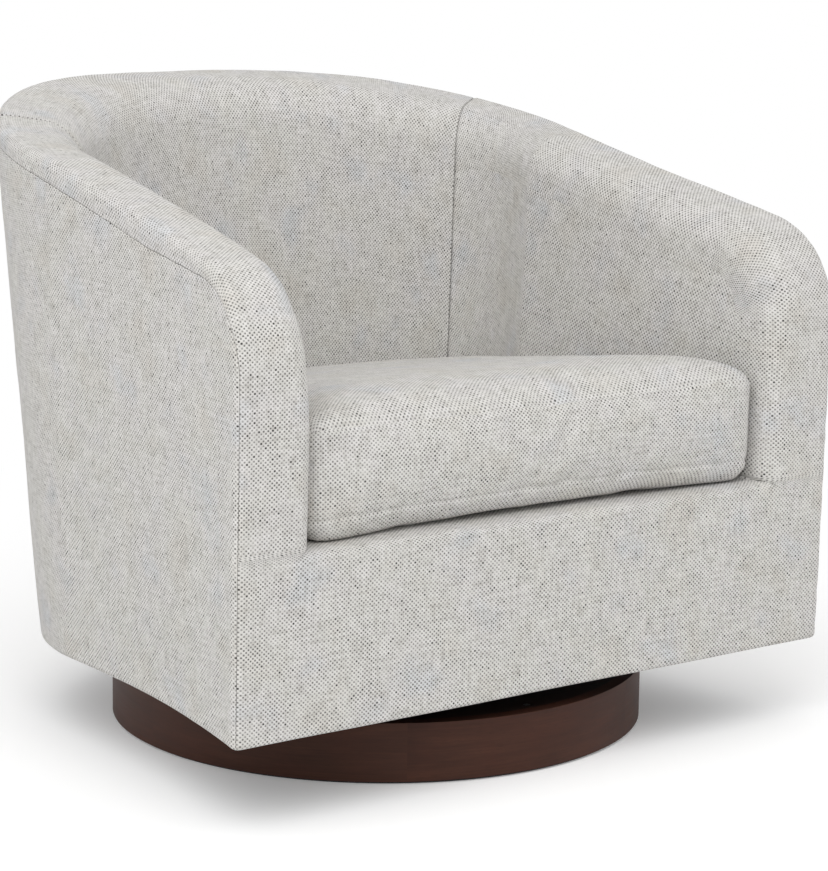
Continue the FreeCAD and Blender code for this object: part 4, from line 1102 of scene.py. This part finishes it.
    def side(self, sign: int) -> Cover:
        """Lay out the panel over the outside of an arm.

        Args:
            sign: 1 for the right arm and -1 for the left one.

        Returns:
            The cover, before it is sewn.
        """
        wall, plan = self.wall, self.wall.plan
        stations = wall.stations(self.hem_rows(wall.profile.arc_centre()[1])[:-1], plan.seam_place)
        thick = wall.thickness_at(stations)
        seam = stations.seam[:, None]
        end = np.minimum(seam, 0.0) - wall.rim
        fan = wall.fan(self.side_fan)
        distance = np.where(fan < self.side_close, fan, fan / fan[-1] * (seam - end))
        distance = np.maximum.accumulate(distance, axis=1)
        across, depth = wall.roll(seam - distance, thick, stations.inner[:, None])
        points, place, z = wall.surface(stations, across, depth, thick)
        outer, face_place, face_z = self.arm_patch(stations, place[:, -1], z[:, -1], 0.0, plan.bottom)
        rear = np.maximum(plan.seam_place - place, 0)
        far = np.clip(plan.seam_place - face_place, 0, self.side_fan)
        rim = Patch(points, np.stack([place, z], axis=-1), np.minimum(distance, rear))
        body = Patch(outer, np.stack([face_place, face_z], axis=-1), far)
        patches = [rim, body] if sign > 0 else [rim.mirrored(), body.mirrored()]
        name = "side_cover_right" if sign > 0 else "side_cover_left"
        return Cover(name, lambda spot: Vector((sign, 0.0, 0.0)), patches)

    def rail(self, edge: np.ndarray, run: np.ndarray) -> Patch:
        """Fill the face, the round and the ledge of the front rail between the arms.

        Args:
            edge: Points up the right arm's inner edge, one for each row.
            run: Length of cloth up to each row, as one column.

        Returns:
            The patch.
        """
        share = np.linspace(-1, 1, 2 * int(round(edge[0, 0] / self.wall.step)) + 1)
        points = np.empty((len(edge), len(share), 3))
        points[..., 0] = edge[:, None, 0] * share
        points[..., 1:] = edge[:, None, 1:]
        weave = np.stack([points[..., 0], np.broadcast_to(run, points.shape[:2])], axis=-1)
        return Patch(points, weave, np.full(points.shape[:2], FAR))

    def front_outward(self, spot: Vector) -> Vector:
        """Point away from the middle of the arm or of the rail.

        Args:
            spot: A place on the front cover.

        Returns:
            The direction out of the cover.
        """
        if abs(spot.x) > self.arm_line and spot.z > self.wall.rail_top + self.arm_foot:
            return Vector((-math.copysign(0.2, spot.x), -0.4, 0.8))
        return Vector((0.0, -1.0, 0.3))

    def front(self) -> Cover:
        """Lay out the cover over the front rail and over the front, top and inside of both arms.

        Returns:
            The cover, before it is sewn.
        """
        wall, plan = self.wall, self.wall.plan
        low_rows = self.hem_rows(wall.rail_top - wall.rail_round)
        turns = np.linspace(0, math.pi / 2, self.rail_steps)[1:]
        ledge_in = spaced(wall.rail_round, self.ledge, wall.step)[1:]
        high_rows = spaced(wall.rail_top, wall.profile.arc_centre()[1], wall.step)[1:-1]
        round_z = wall.rail_top - wall.rail_round * (1 - np.sin(turns))
        round_back = wall.rail_round * (1 - np.cos(turns))
        first_z = np.concatenate([low_rows, round_z, np.full(len(ledge_in), wall.rail_top), high_rows])
        rail_in = np.concatenate([np.zeros(len(low_rows)), round_back, ledge_in])
        rail_rows = len(rail_in)
        stations = wall.stations(first_z, plan.seam_place)
        recess = np.full((len(stations.place), 1), FAR)
        recess[:rail_rows, 0] = rail_in

        thick = wall.thickness_at(stations)
        round_in = stations.inner[:, None]
        seam = stations.seam[:, None]
        flat_end = wall.flat_end(thick, round_in)
        skin_end = flat_end + round_in * math.pi / 2 + self.ledge - round_in
        distance = wall.stretched(wall.fan(self.arm_fan), skin_end - seam)
        sigma = seam + distance
        across, depth = wall.roll(sigma, thick, round_in)
        beyond = np.clip((sigma - flat_end) / (skin_end - flat_end), 0, 1)
        flat_across = np.where(beyond > 0, thick - round_in * (1 - beyond), across)
        on_round = sigma < wall.outer_roll * math.pi / 2
        drawn = np.where(depth > 0, np.clip(recess / np.maximum(depth, TINY), 0, 1), 1.0)
        drawn = np.where(on_round, 1.0, drawn)
        across = flat_across + (across - flat_across) * drawn
        shown_depth = np.where(on_round, depth, np.minimum(depth, recess))
        points, place, z = wall.surface(stations, across, shown_depth, thick)

        run = stations.run[:, None] + np.minimum(recess, self.ledge)
        weave_x = np.where(recess < FAR, points[..., 0], plan.front_half - sigma)
        weave = np.stack([weave_x, np.broadcast_to(run, sigma.shape)], axis=-1)
        arm = Patch(points, weave, np.minimum(distance, np.maximum(plan.seam_place - place, 0)))
        rail = self.rail(points[:rail_rows, -1], run[:rail_rows])

        above = slice(rail_rows - 1, None)
        inner, face_place, face_z = self.arm_patch(stations.part(above), place[above, -1], z[above, -1],
                                                   1.0, wall.rail_top)
        cosine, sine = math.cos(wall.profile.rise), math.sin(wall.profile.rise)
        inner_weave = np.stack([face_z * cosine - face_place * sine, face_place * cosine + face_z * sine],
                               axis=-1)
        inside = Patch(inner, inner_weave, np.maximum(plan.seam_place - face_place, 0))
        return Cover("front_cover", self.front_outward,
                     [arm, arm.mirrored(), rail, inside, inside.mirrored()])

    def build(self) -> None:
        """Make all fixed covers and hand each its body."""
        covers = (
            (self.inside_back, ("back_pad",)),
            (self.outside_back, ("outside_back_panel",)),
            (self.front, ("front_panel", "arm_pad_left", "arm_pad_right")),
            (partial(self.side, 1), ("side_panel_right",)),
            (partial(self.side, -1), ("side_panel_left",)),
        )
        for lay_out, nodes in covers:
            cover = lay_out().build()
            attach(cover, "seat")
            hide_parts(*nodes)


@dataclass
class CushionForm:
    """A box cushion as a top, a boxing and an underside on one outline."""

    name: str
    low: float
    seam_low: float
    seam_high: float
    crown: float
    front: float = 302 * MM
    room: float = 2 * MM
    corner: float = 18 * MM
    corner_points: int = 25
    outline_step: float = 2 * MM
    rear_share: float = 0.73
    half_width: float = 300 * MM
    dome: float = 6.0
    shoulder: float = 0.8
    fall: float = 0.1
    foot_inset: float = 10 * MM
    across_count: int = 92
    along_count: int = 84
    boxing_step: float = 7 * MM
    seam_gap: float = 2 * MM
    join: float = 0.05 * MM
    plan: ShellPlan = field(default_factory=ShellPlan)

    def outline(self) -> list[np.ndarray]:
        """Go round the space between the arms.

        Returns:
            The four sides of the outline: front, right, back and left.
        """
        plan = self.plan

        def inner(places: np.ndarray) -> np.ndarray:
            """Outline between the arms."""
            return plan.hit(places, np.full_like(places, self.low), plan.arm + self.room,
                            plan.back + self.room)

        def stretch(start: float, end: float, count: int) -> np.ndarray:
            """Even points of the half outline."""
            at = np.linspace(start, end, count + 1)
            return np.stack([np.interp(at, length, half[:, axis]) for axis in (0, 1)], axis=-1)

        round_y = self.corner - self.front
        side_x = float(inner(np.array([round_y]))[0, 0])
        turns = np.linspace(-math.pi / 2, 0, self.corner_points)
        centre = np.array([side_x - self.corner, round_y])
        rounding = centre + self.corner * np.stack([np.cos(turns), np.sin(turns)], axis=-1)
        side = inner(spaced(round_y, plan.middle_place, self.outline_step))
        half = np.concatenate([[[0.0, -self.front]], rounding, side[1:]])
        length = run_length(half)
        front_corner = length[1 + self.corner_points // 2]
        rear_corner = length[-1] * self.rear_share
        front_right = stretch(0, front_corner, self.across_count // 2)
        right = stretch(front_corner, rear_corner, self.along_count)
        back_right = stretch(length[-1], rear_corner, self.across_count // 2)
        flip = np.array([-1.0, 1.0])
        front = np.concatenate([front_right[:0:-1] * flip, front_right])
        back = np.concatenate([back_right[:0:-1] * flip, back_right])
        return [front, right, back, right * flip]

    def ring(self) -> np.ndarray:
        """The outline as one closed ring, from the front left corner."""
        front, right, back, left = self.outline()
        return np.concatenate([front[:-1], right[:-1], back[::-1][:-1], left[::-1][:-1]])

    def middle(self, ring: np.ndarray) -> np.ndarray:
        """Middle of the outline."""
        return np.array([0.0, ring[:, 1].mean()])

    def gauge(self, points: np.ndarray, ring: np.ndarray) -> np.ndarray:
        """Measure how far points lie from the middle towards the outline.

        Args:
            points: Places in plan.
            ring: The outline.

        Returns:
            Each point's share of the way.
        """
        middle = self.middle(ring)
        out, off = ring - middle, points - middle
        angles = np.arctan2(out[:, 1], out[:, 0])
        order = np.argsort(angles)
        at = np.arctan2(off[..., 1], off[..., 0])
        limit = np.interp(at, angles[order], np.linalg.norm(out[order], axis=-1), period=2 * math.pi)
        return np.linalg.norm(off, axis=-1) / limit

    def lift(self, share: np.ndarray) -> np.ndarray:
        """Height of the crown over the upper seam, at a share of the way to the outline."""
        return self.crown * (1 - share ** self.dome) ** self.shoulder

    def lean_back(self, points: np.ndarray) -> np.ndarray:
        """Lower the top towards the back, with the underside left flat.

        Args:
            points: Places on the level form.

        Returns:
            The same places on the form that falls to the back.
        """
        leaning = points.copy()
        share = 1 - self.fall * (points[:, 1] + self.front) / (self.seam_high - self.low)
        leaning[:, 2] = self.low + (points[:, 2] - self.low) * share
        return leaning

    def heights(self) -> np.ndarray:
        """List the heights of the boxing's rows, close together at its seams.

        Returns:
            The heights, from the underside to the upper seam.
        """
        rows = [self.low, self.seam_high]
        if self.seam_low > self.low:
            over, under = self.seam_low + self.seam_gap, self.seam_high - self.seam_gap
            rows += [self.seam_low - self.seam_gap, self.seam_low, over, under]
            rows += [*spaced(self.low, self.seam_low, self.boxing_step)[1:-1],
                     *spaced(over, under, self.boxing_step)[1:-1]]
        return np.unique(np.round(rows, 5))

    def patches(self, shrink: float) -> list[Patch]:
        """Lay out the faces of the form.

        Args:
            shrink: How far the outline is drawn in at the sides.

        Returns:
            Top, underside and boxing.
        """
        front, right, back, left = self.outline()
        ring = self.ring()
        middle = self.middle(ring)
        flat = blend_patch(left, back, right, front)
        share = np.minimum(self.gauge(flat, ring), 1.0)
        size = 1 - shrink / self.half_width
        foot = 1 - self.foot_inset / self.half_width
        top, under = np.empty(share.shape + (3,)), np.empty(share.shape + (3,))
        top[..., :2] = middle + (flat - middle) * size
        top[..., 2] = self.seam_high + self.lift(share)
        under[..., :2] = middle + (flat - middle) * size * foot
        under[..., 2] = self.low

        closed = np.concatenate([ring, ring[:1]])
        heights = self.heights()
        drop = np.clip((self.seam_low - heights) / max(self.seam_low - self.low, MM), 0, 1)
        scale = size * (1 - (1 - foot) * drop ** 2)
        box = np.empty((len(heights), len(closed), 3))
        box[..., :2] = middle + (closed - middle) * scale[:, None, None]
        box[..., 2] = heights[:, None]
        seam = np.minimum(np.abs(box[..., 2] - self.seam_low), np.abs(box[..., 2] - self.seam_high))
        length = run_length(closed)
        run = np.broadcast_to(length - length[self.across_count] / 2, seam.shape)
        return [
            Patch(top, top[..., :2].copy(), (1 - share) * self.half_width),
            Patch(under, under[..., :2].copy(), np.full(share.shape, FAR)),
            Patch(box, np.stack([run, box[..., 2]], axis=-1), seam),
        ]

    def mesh(self, shrink: float = 0.0) -> tuple[bpy.types.Object, np.ndarray]:
        """Join the faces into one piece.

        Args:
            shrink: How far the outline is drawn in at the sides.

        Returns:
            The piece and each point's distance from a seam.
        """
        form = joined(self.patches(shrink), self.join)
        seam = form.verts.layers.float["seam"]
        distances = np.array([vert[seam] for vert in form.verts])
        return new_piece(self.name, form, smooth=True), distances


def mesh_points(mesh: bpy.types.Mesh) -> np.ndarray:
    """Read every point of a mesh.

    Args:
        mesh: The mesh.

    Returns:
        Its points, one in each row.
    """
    flat = np.empty(len(mesh.vertices) * 3)
    mesh.vertices.foreach_get("co", flat)
    return flat.reshape(-1, 3)


def move_points(mesh: bpy.types.Mesh, points: np.ndarray) -> None:
    """Put every point of a mesh in a new place."""
    mesh.vertices.foreach_set("co", points.ravel())
    mesh.update()


@dataclass
class SeatCushion:
    """The loose box cushion, blown up as cloth and then sewn."""

    form: CushionForm = field(default_factory=lambda: CushionForm(
        "seat_cushion_cover", low=283.3 * MM, seam_low=305.3 * MM, seam_high=398.3 * MM, crown=40 * MM))
    pressure: float = 4.0
    frames: int = 20
    quality: int = 6
    mass: float = 0.4
    stretch_stiffness: float = 30
    shear_stiffness: float = 15
    bending_stiffness: float = 6
    shrink: float = 1 * MM
    kept_swell: float = 0.5
    farthest: float = 22 * MM
    room_share: float = 1.004
    spare: float = 1.5 * MM
    fold: float = 0.8 * MM
    fold_length: float = 15 * MM
    fold_reach: float = 12 * MM
    wave: float = 2.2 * MM
    wave_length: float = 120 * MM
    ripple: float = 0.7 * MM
    ripple_length: float = 45 * MM
    groove: float = 2.6 * MM
    groove_width: float = 1.6 * MM

    def swell(self, piece: bpy.types.Object) -> None:
        """Blow the cover up with the cloth simulation and keep a share of its result.

        Args:
            piece: The cover.
        """
        scene = bpy.context.scene
        start = mesh_points(piece.data)
        cloth = piece.modifiers.new("swell", "CLOTH")
        settings = cloth.settings
        settings.quality = self.quality
        settings.mass = self.mass
        settings.tension_stiffness = self.stretch_stiffness
        settings.compression_stiffness = self.stretch_stiffness
        settings.shear_stiffness = self.shear_stiffness
        settings.bending_stiffness = self.bending_stiffness
        settings.use_pressure = True
        settings.uniform_pressure_force = self.pressure
        settings.effector_weights.gravity = 0
        scene.frame_start = cloth.point_cache.frame_start = 1
        scene.frame_end = cloth.point_cache.frame_end = self.frames
        for number in range(1, self.frames + 1):
            scene.frame_set(number)
        depsgraph = bpy.context.evaluated_depsgraph_get()
        move = mesh_points(piece.evaluated_get(depsgraph).data) - start
        piece.modifiers.remove(cloth)
        scene.frame_set(1)
        length = np.linalg.norm(move, axis=-1)[:, None]
        move *= self.kept_swell * np.minimum(1.0, self.farthest / np.maximum(length, TINY))
        move_points(piece.data, start + move)
        LOG.info("cushion swells by up to %.1f mm", float(length.max()) / MM)

    def sew(self, piece: bpy.types.Object, seam: np.ndarray) -> None:
        """Keep the cushion in its room, draw in its two seams and lean its top back.

        Args:
            piece: The cover.
            seam: Each point's distance from a seam.
        """
        form = self.form
        points = mesh_points(piece.data)
        ring = form.ring()
        middle = form.middle(ring)
        over = np.maximum(form.gauge(points[:, :2], ring) / self.room_share, 1.0)[:, None]
        points[:, :2] = middle + (points[:, :2] - middle) / over
        share = np.minimum(form.gauge(points[:, :2], ring), 1.0)
        points[:, 2] = np.clip(points[:, 2], form.low, form.seam_high + form.lift(share) + self.spare)
        move_points(piece.data, points)
        normals = np.array([vert.normal[:] for vert in piece.data.vertices])
        for index, place in enumerate(points):
            spot = Vector(place)
            near = math.exp(-seam[index] / self.fold_reach)
            folds = noise.noise(spot / self.fold_length) * self.fold * near
            waves = noise.noise(spot / self.wave_length) * self.wave
            ripples = noise.noise(spot / self.ripple_length) * self.ripple
            sink = self.groove * math.exp(-(seam[index] / self.groove_width) ** 2)
            points[index] += normals[index] * (folds + (waves + ripples) - sink)
        points[:, 2] = np.maximum(points[:, 2], form.low)
        move_points(piece.data, form.lean_back(points))

    def build(self) -> None:
        """Make the cushion's cover."""
        piece, seam = self.form.mesh(self.shrink)
        self.swell(piece)
        self.sew(piece, seam)
        smooth = piece.modifiers.new("soft cloth", "SUBSURF")
        smooth.levels = 1
        smooth.render_levels = 1
        piece.data.materials.append(material_of(Finish.UPHOLSTERY))
        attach(piece, "cushion")
        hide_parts("seat_cushion")
        LOG.info("%s sewn", piece.name)


def merged_copy(node: str, name: str) -> bpy.types.Object:
    """Copy a node's mesh with its triangles joined.

    Args:
        node: Name of the node.
        name: Name of the new piece.

    Returns:
        The new piece.
    """
    form = bmesh.new()
    form.from_mesh(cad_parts[node].data)
    bmesh.ops.remove_doubles(form, verts=form.verts, dist=0.005 * MM)
    bmesh.ops.recalc_face_normals(form, faces=form.faces)
    return new_piece(name, form)


@dataclass
class Plinth:
    """Round veneered plinth with its glue blocks, boards and felt ring."""

    felt_inner: float = 250 * MM
    felt_outer: float = 300 * MM
    felt_height: float = 3 * MM
    felt_edge: float = 0.8 * MM
    felt_steps: int = 144

    def felt_ring(self) -> None:
        """The felt under the plinth: a softened section turned about the axis."""
        form = bmesh.new()
        section = ((self.felt_inner, 0.0), (self.felt_outer, 0.0), (self.felt_outer, self.felt_height),
                   (self.felt_inner, self.felt_height))
        verts = [form.verts.new((x, 0.0, z)) for x, z in section]
        for ends in zip(verts, verts[1:] + verts[:1]):
            form.edges.new(ends)
        bmesh.ops.bevel(form, geom=verts[2:], offset=self.felt_edge, offset_type="OFFSET", segments=3,
                        profile=0.5, affect="VERTICES", material=-1)
        bmesh.ops.spin(form, geom=form.verts[:] + form.edges[:], cent=(0, 0, 0), axis=(0, 0, 1),
                       angle=2 * math.pi, steps=self.felt_steps, use_merge=True)
        bmesh.ops.remove_doubles(form, verts=form.verts, dist=0.01 * MM)
        bmesh.ops.recalc_face_normals(form, faces=form.faces)
        piece = new_piece("felt_ring", form)
        piece.data.materials.append(material_of(Finish.FELT))
        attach(piece, "base")
        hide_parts("plinth_felt_ring")
        LOG.info("%s turned", piece.name)

    def build(self) -> None:
        """Finish the plinth."""
        finish_nodes(Finish.VENEER, "plinth_hoop")
        finish_nodes(Finish.DARK_BOARD, "plinth_top_board")
        finish_nodes(Finish.BOARD, "plinth_bottom_ring")
        finish_nodes(Finish.SOFTWOOD, "plinth_glue_blocks")
        finish_nodes(Finish.ZINC_STEEL, "top_board_screws", "lower_plate_screws")
        self.felt_ring()


@dataclass
class Mechanism:
    """Swivel bearing, rocker cradle and its four springs."""

    corners: tuple[str, ...] = ("rear_right", "rear_left", "front_left", "front_right")

    def spring(self, corner: str) -> None:
        """Make one coil spring, which bends between the turntable and the seat.

        Args:
            corner: Where it stands.
        """
        node = "rocker_spring_" + corner
        low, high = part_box(node)
        piece = merged_copy(node, "coil_spring_" + corner)
        piece.data.shade_smooth()
        piece.data.materials.append(material_of(Finish.SPRING_STEEL))
        middle = (low + high) / 2
        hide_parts(node)
        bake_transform(piece, "turntable", "seat", start=(middle.x, middle.y, low.z),
                 end=(middle.x, middle.y, high.z))
        LOG.info("%s bends between turntable and seat", piece.name)

    def build(self) -> None:
        """Finish the mechanism."""
        finish_nodes(Finish.BLACK_STEEL, "lower_swivel_plate", "upper_swivel_plate", "rocker_cradle",
                     "seat_bracket_right", "seat_bracket_left", "lower_spring_cups", "upper_spring_cups")
        finish_nodes(Finish.BEARING_STEEL, "lower_race", "upper_race", "ball_cage", "bearing_balls")
        finish_nodes(Finish.ZINC_STEEL, "cradle_bolts", "cradle_nuts", "king_bolt", "king_nut", "pivot_pins",
                     "bracket_bolts", "bracket_nuts")
        finish_nodes(Finish.NYLON, "pivot_bushes")
        finish_nodes(Finish.RUBBER, "rock_stops")
        for corner in self.corners:
            self.spring(corner)


@dataclass
class SeatFrame:
    """Wooden frame, seat springs, deck and dust cloth."""

    deck: CushionForm = field(default_factory=lambda: CushionForm(
        "deck_cover", low=267 * MM, seam_low=267 * MM, seam_high=281.4 * MM, crown=0.0, front=285 * MM,
        room=0.5 * MM, corner=8 * MM, foot_inset=0.0, across_count=60, along_count=56))
    deck_edge: float = 2 * MM
    facing_down: float = -0.9

    def dust_cloth(self) -> None:
        """The cloth stapled under the shell."""
        piece = merged_copy("dust_cover", "dust_cloth")
        piece.data.materials.append(material_of(Finish.DUST_CLOTH))
        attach(piece, "seat")
        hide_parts("dust_cover")

    def deck_cover(self) -> None:
        """The felt deck that the cushion lies on."""
        piece, _ = self.deck.mesh()
        piece.data.materials.append(material_of(Finish.DECK_FELT))
        edge = piece.modifiers.new("soft edge", "BEVEL")
        edge.width = self.deck_edge
        edge.segments = 3
        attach(piece, "seat")
        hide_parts("deck_pad")
        LOG.info("%s laid", piece.name)

    def build(self) -> None:
        """Finish the frame."""
        finish_nodes(Finish.HARDWOOD, "cross_rail_front", "cross_rail_rear", "front_rail", "rear_rail",
                     "side_rail_right", "side_rail_left")
        finish_nodes(Finish.SOFTWOOD, "cross_rail_cleats", "corner_blocks")
        finish_nodes(Finish.PLYWOOD, "base_panel", "arm_frame_left", "arm_frame_right", "back_frame")
        finish_nodes(Finish.SPRING_STEEL, "deck_springs")
        finish_nodes(Finish.ZINC_STEEL, "spring_clips")
        self.deck_cover()
        self.dust_cloth()


@dataclass(frozen=True)
class Lamp:
    """A large soft lamp."""

    name: str
    place: tuple[float, float, float]
    size: float
    power: float


@dataclass
class Studio:
    """Pale floor, soft light and the camera."""

    eye: tuple[float, float, float] = (-1.93727, -2.61074, 0.92616)
    forward: tuple[float, float, float] = (0.59543, 0.78226, -0.18310)
    right: tuple[float, float, float] = (0.79723, -0.60351, 0.01420)
    focal_pixels: float = 2889.8
    sensor: float = 36.0
    clip_end: float = 100.0
    paper: str = "#f4f4f4"
    paper_glow: float = 0.16
    floor_half: float = 12.0
    shadow_start: float = 0.6
    shadow_reach: float = 1.5
    world_level: float = 0.79
    aim: tuple[float, float, float] = (0.0, 0.0, 0.4)
    lamps: tuple[Lamp, ...] = (Lamp("key", (-1.7, -1.6, 3.0), 3.0, 58.0),
                               Lamp("fill", (2.4, -1.6, 2.0), 2.4, 6.0))

    def camera(self) -> None:
        """Put the camera at the photograph's place."""
        data = bpy.data.cameras.new("camera")
        data.sensor_width = self.sensor
        data.lens = self.focal_pixels * self.sensor / max(PIXELS_WIDE, PIXELS_HIGH)
        data.clip_end = self.clip_end
        camera = bpy.data.objects.new("camera", data)
        bpy.context.scene.collection.objects.link(camera)
        ahead = Vector(self.forward).normalized()
        side = Vector(self.right)
        side = (side - ahead * side.dot(ahead)).normalized()
        upward = side.cross(ahead)
        turn = Matrix((side, upward, -ahead)).transposed().to_4x4()
        camera.matrix_world = Matrix.Translation(self.eye) @ turn
        bpy.context.scene.camera = camera

    def seen_white(self, tree: bpy.types.NodeTree) -> bpy.types.NodeSocket:
        """Pick the rays that see the background directly, in a gloss or through glass.

        Args:
            tree: The node tree of the background.

        Returns:
            One for such a ray and nought for any other.
        """
        path = add(tree, "LightPath").node.outputs
        seen = add(tree, "Math", (path["Is Camera Ray"], path["Is Glossy Ray"]), operation="MAXIMUM")
        return add(tree, "Math", (seen, path["Is Transmission Ray"]), operation="MAXIMUM")

    def world(self) -> None:
        """White surroundings with an even light level."""
        world = bpy.data.worlds.new("studio")
        bpy.context.scene.world = world
        world.use_nodes = True
        tree = world.node_tree
        tree.nodes.clear()
        surface = tree.nodes.new("ShaderNodeOutputWorld").inputs["Surface"]
        strength = add(tree, "Math", (self.seen_white(tree), 1.0 - self.world_level, self.world_level),
                       operation="MULTIPLY_ADD")
        tree.links.new(add(tree, "Background", {"Color": WHITE, "Strength": strength}), surface)

    def floor(self) -> None:
        """A white floor that keeps the chair's shadow."""
        form = bmesh.new()
        bmesh.ops.create_grid(form, x_segments=1, y_segments=1, size=self.floor_half)
        floor = new_piece("floor", form)
        # Seamless background paper: matt, near white, fading to pure white away from the chair
        material, tree, surface = new_material("white_seamless_paper")
        node = partial(add, tree)
        seen = self.seen_white(tree)
        paper = node("BsdfDiffuse", {"Color": linear(self.paper)})
        level = node("Math", (seen, self.paper_glow), operation="MULTIPLY")
        glow = node("Emission", {"Color": WHITE, "Strength": level})
        lit = node("AddShader", (paper, glow))
        place = node("TexCoord", output="Object")
        away = node("VectorMath", (place,), "Value", operation="LENGTH")
        fade = node("MapRange", (away, self.shadow_start, self.shadow_reach))
        white = node("Emission", {"Color": WHITE, "Strength": 1.0})
        share = node("Math", (fade, seen), operation="MULTIPLY")
        tree.links.new(node("MixShader", (share, lit, white)), surface)
        floor.data.materials.append(material)

    def light(self, lamp: Lamp) -> None:
        """Hang a lamp and aim it at the seat.

        Args:
            lamp: The lamp.
        """
        data = bpy.data.lights.new(lamp.name, "AREA")
        data.shape = "SQUARE"
        data.size = lamp.size
        data.energy = lamp.power
        light = bpy.data.objects.new(lamp.name, data)
        bpy.context.scene.collection.objects.link(light)
        way = Vector(self.aim) - Vector(lamp.place)
        turn = way.to_track_quat("-Z", "Y").to_matrix().to_4x4()
        light.matrix_world = Matrix.Translation(lamp.place) @ turn

    def build(self) -> None:
        """Set up floor, light and camera."""
        self.floor()
        self.world()
        for lamp in self.lamps:
            self.light(lamp)
        self.camera()
        bpy.context.scene.view_settings.view_transform = "Standard"
        LOG.info("studio set up with %d lamps", len(self.lamps))


def corners(bounds: tuple[Vector, Vector]) -> list[list[float]]:
    """Both corners of a box as plain lists."""
    return [[float(value) for value in corner] for corner in bounds]


def main() -> None:
    """Dress the chair."""
    logging.basicConfig(level=logging.INFO, format="%(name)s: %(message)s")
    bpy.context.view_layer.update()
    for assembly in (Plinth, Mechanism, SeatFrame, Upholstery, SeatCushion, Studio):
        assembly().build()
        LOG.info("%s finished", assembly.__name__)
    bpy.context.view_layer.update()


if __name__ == "__main__":
    main()
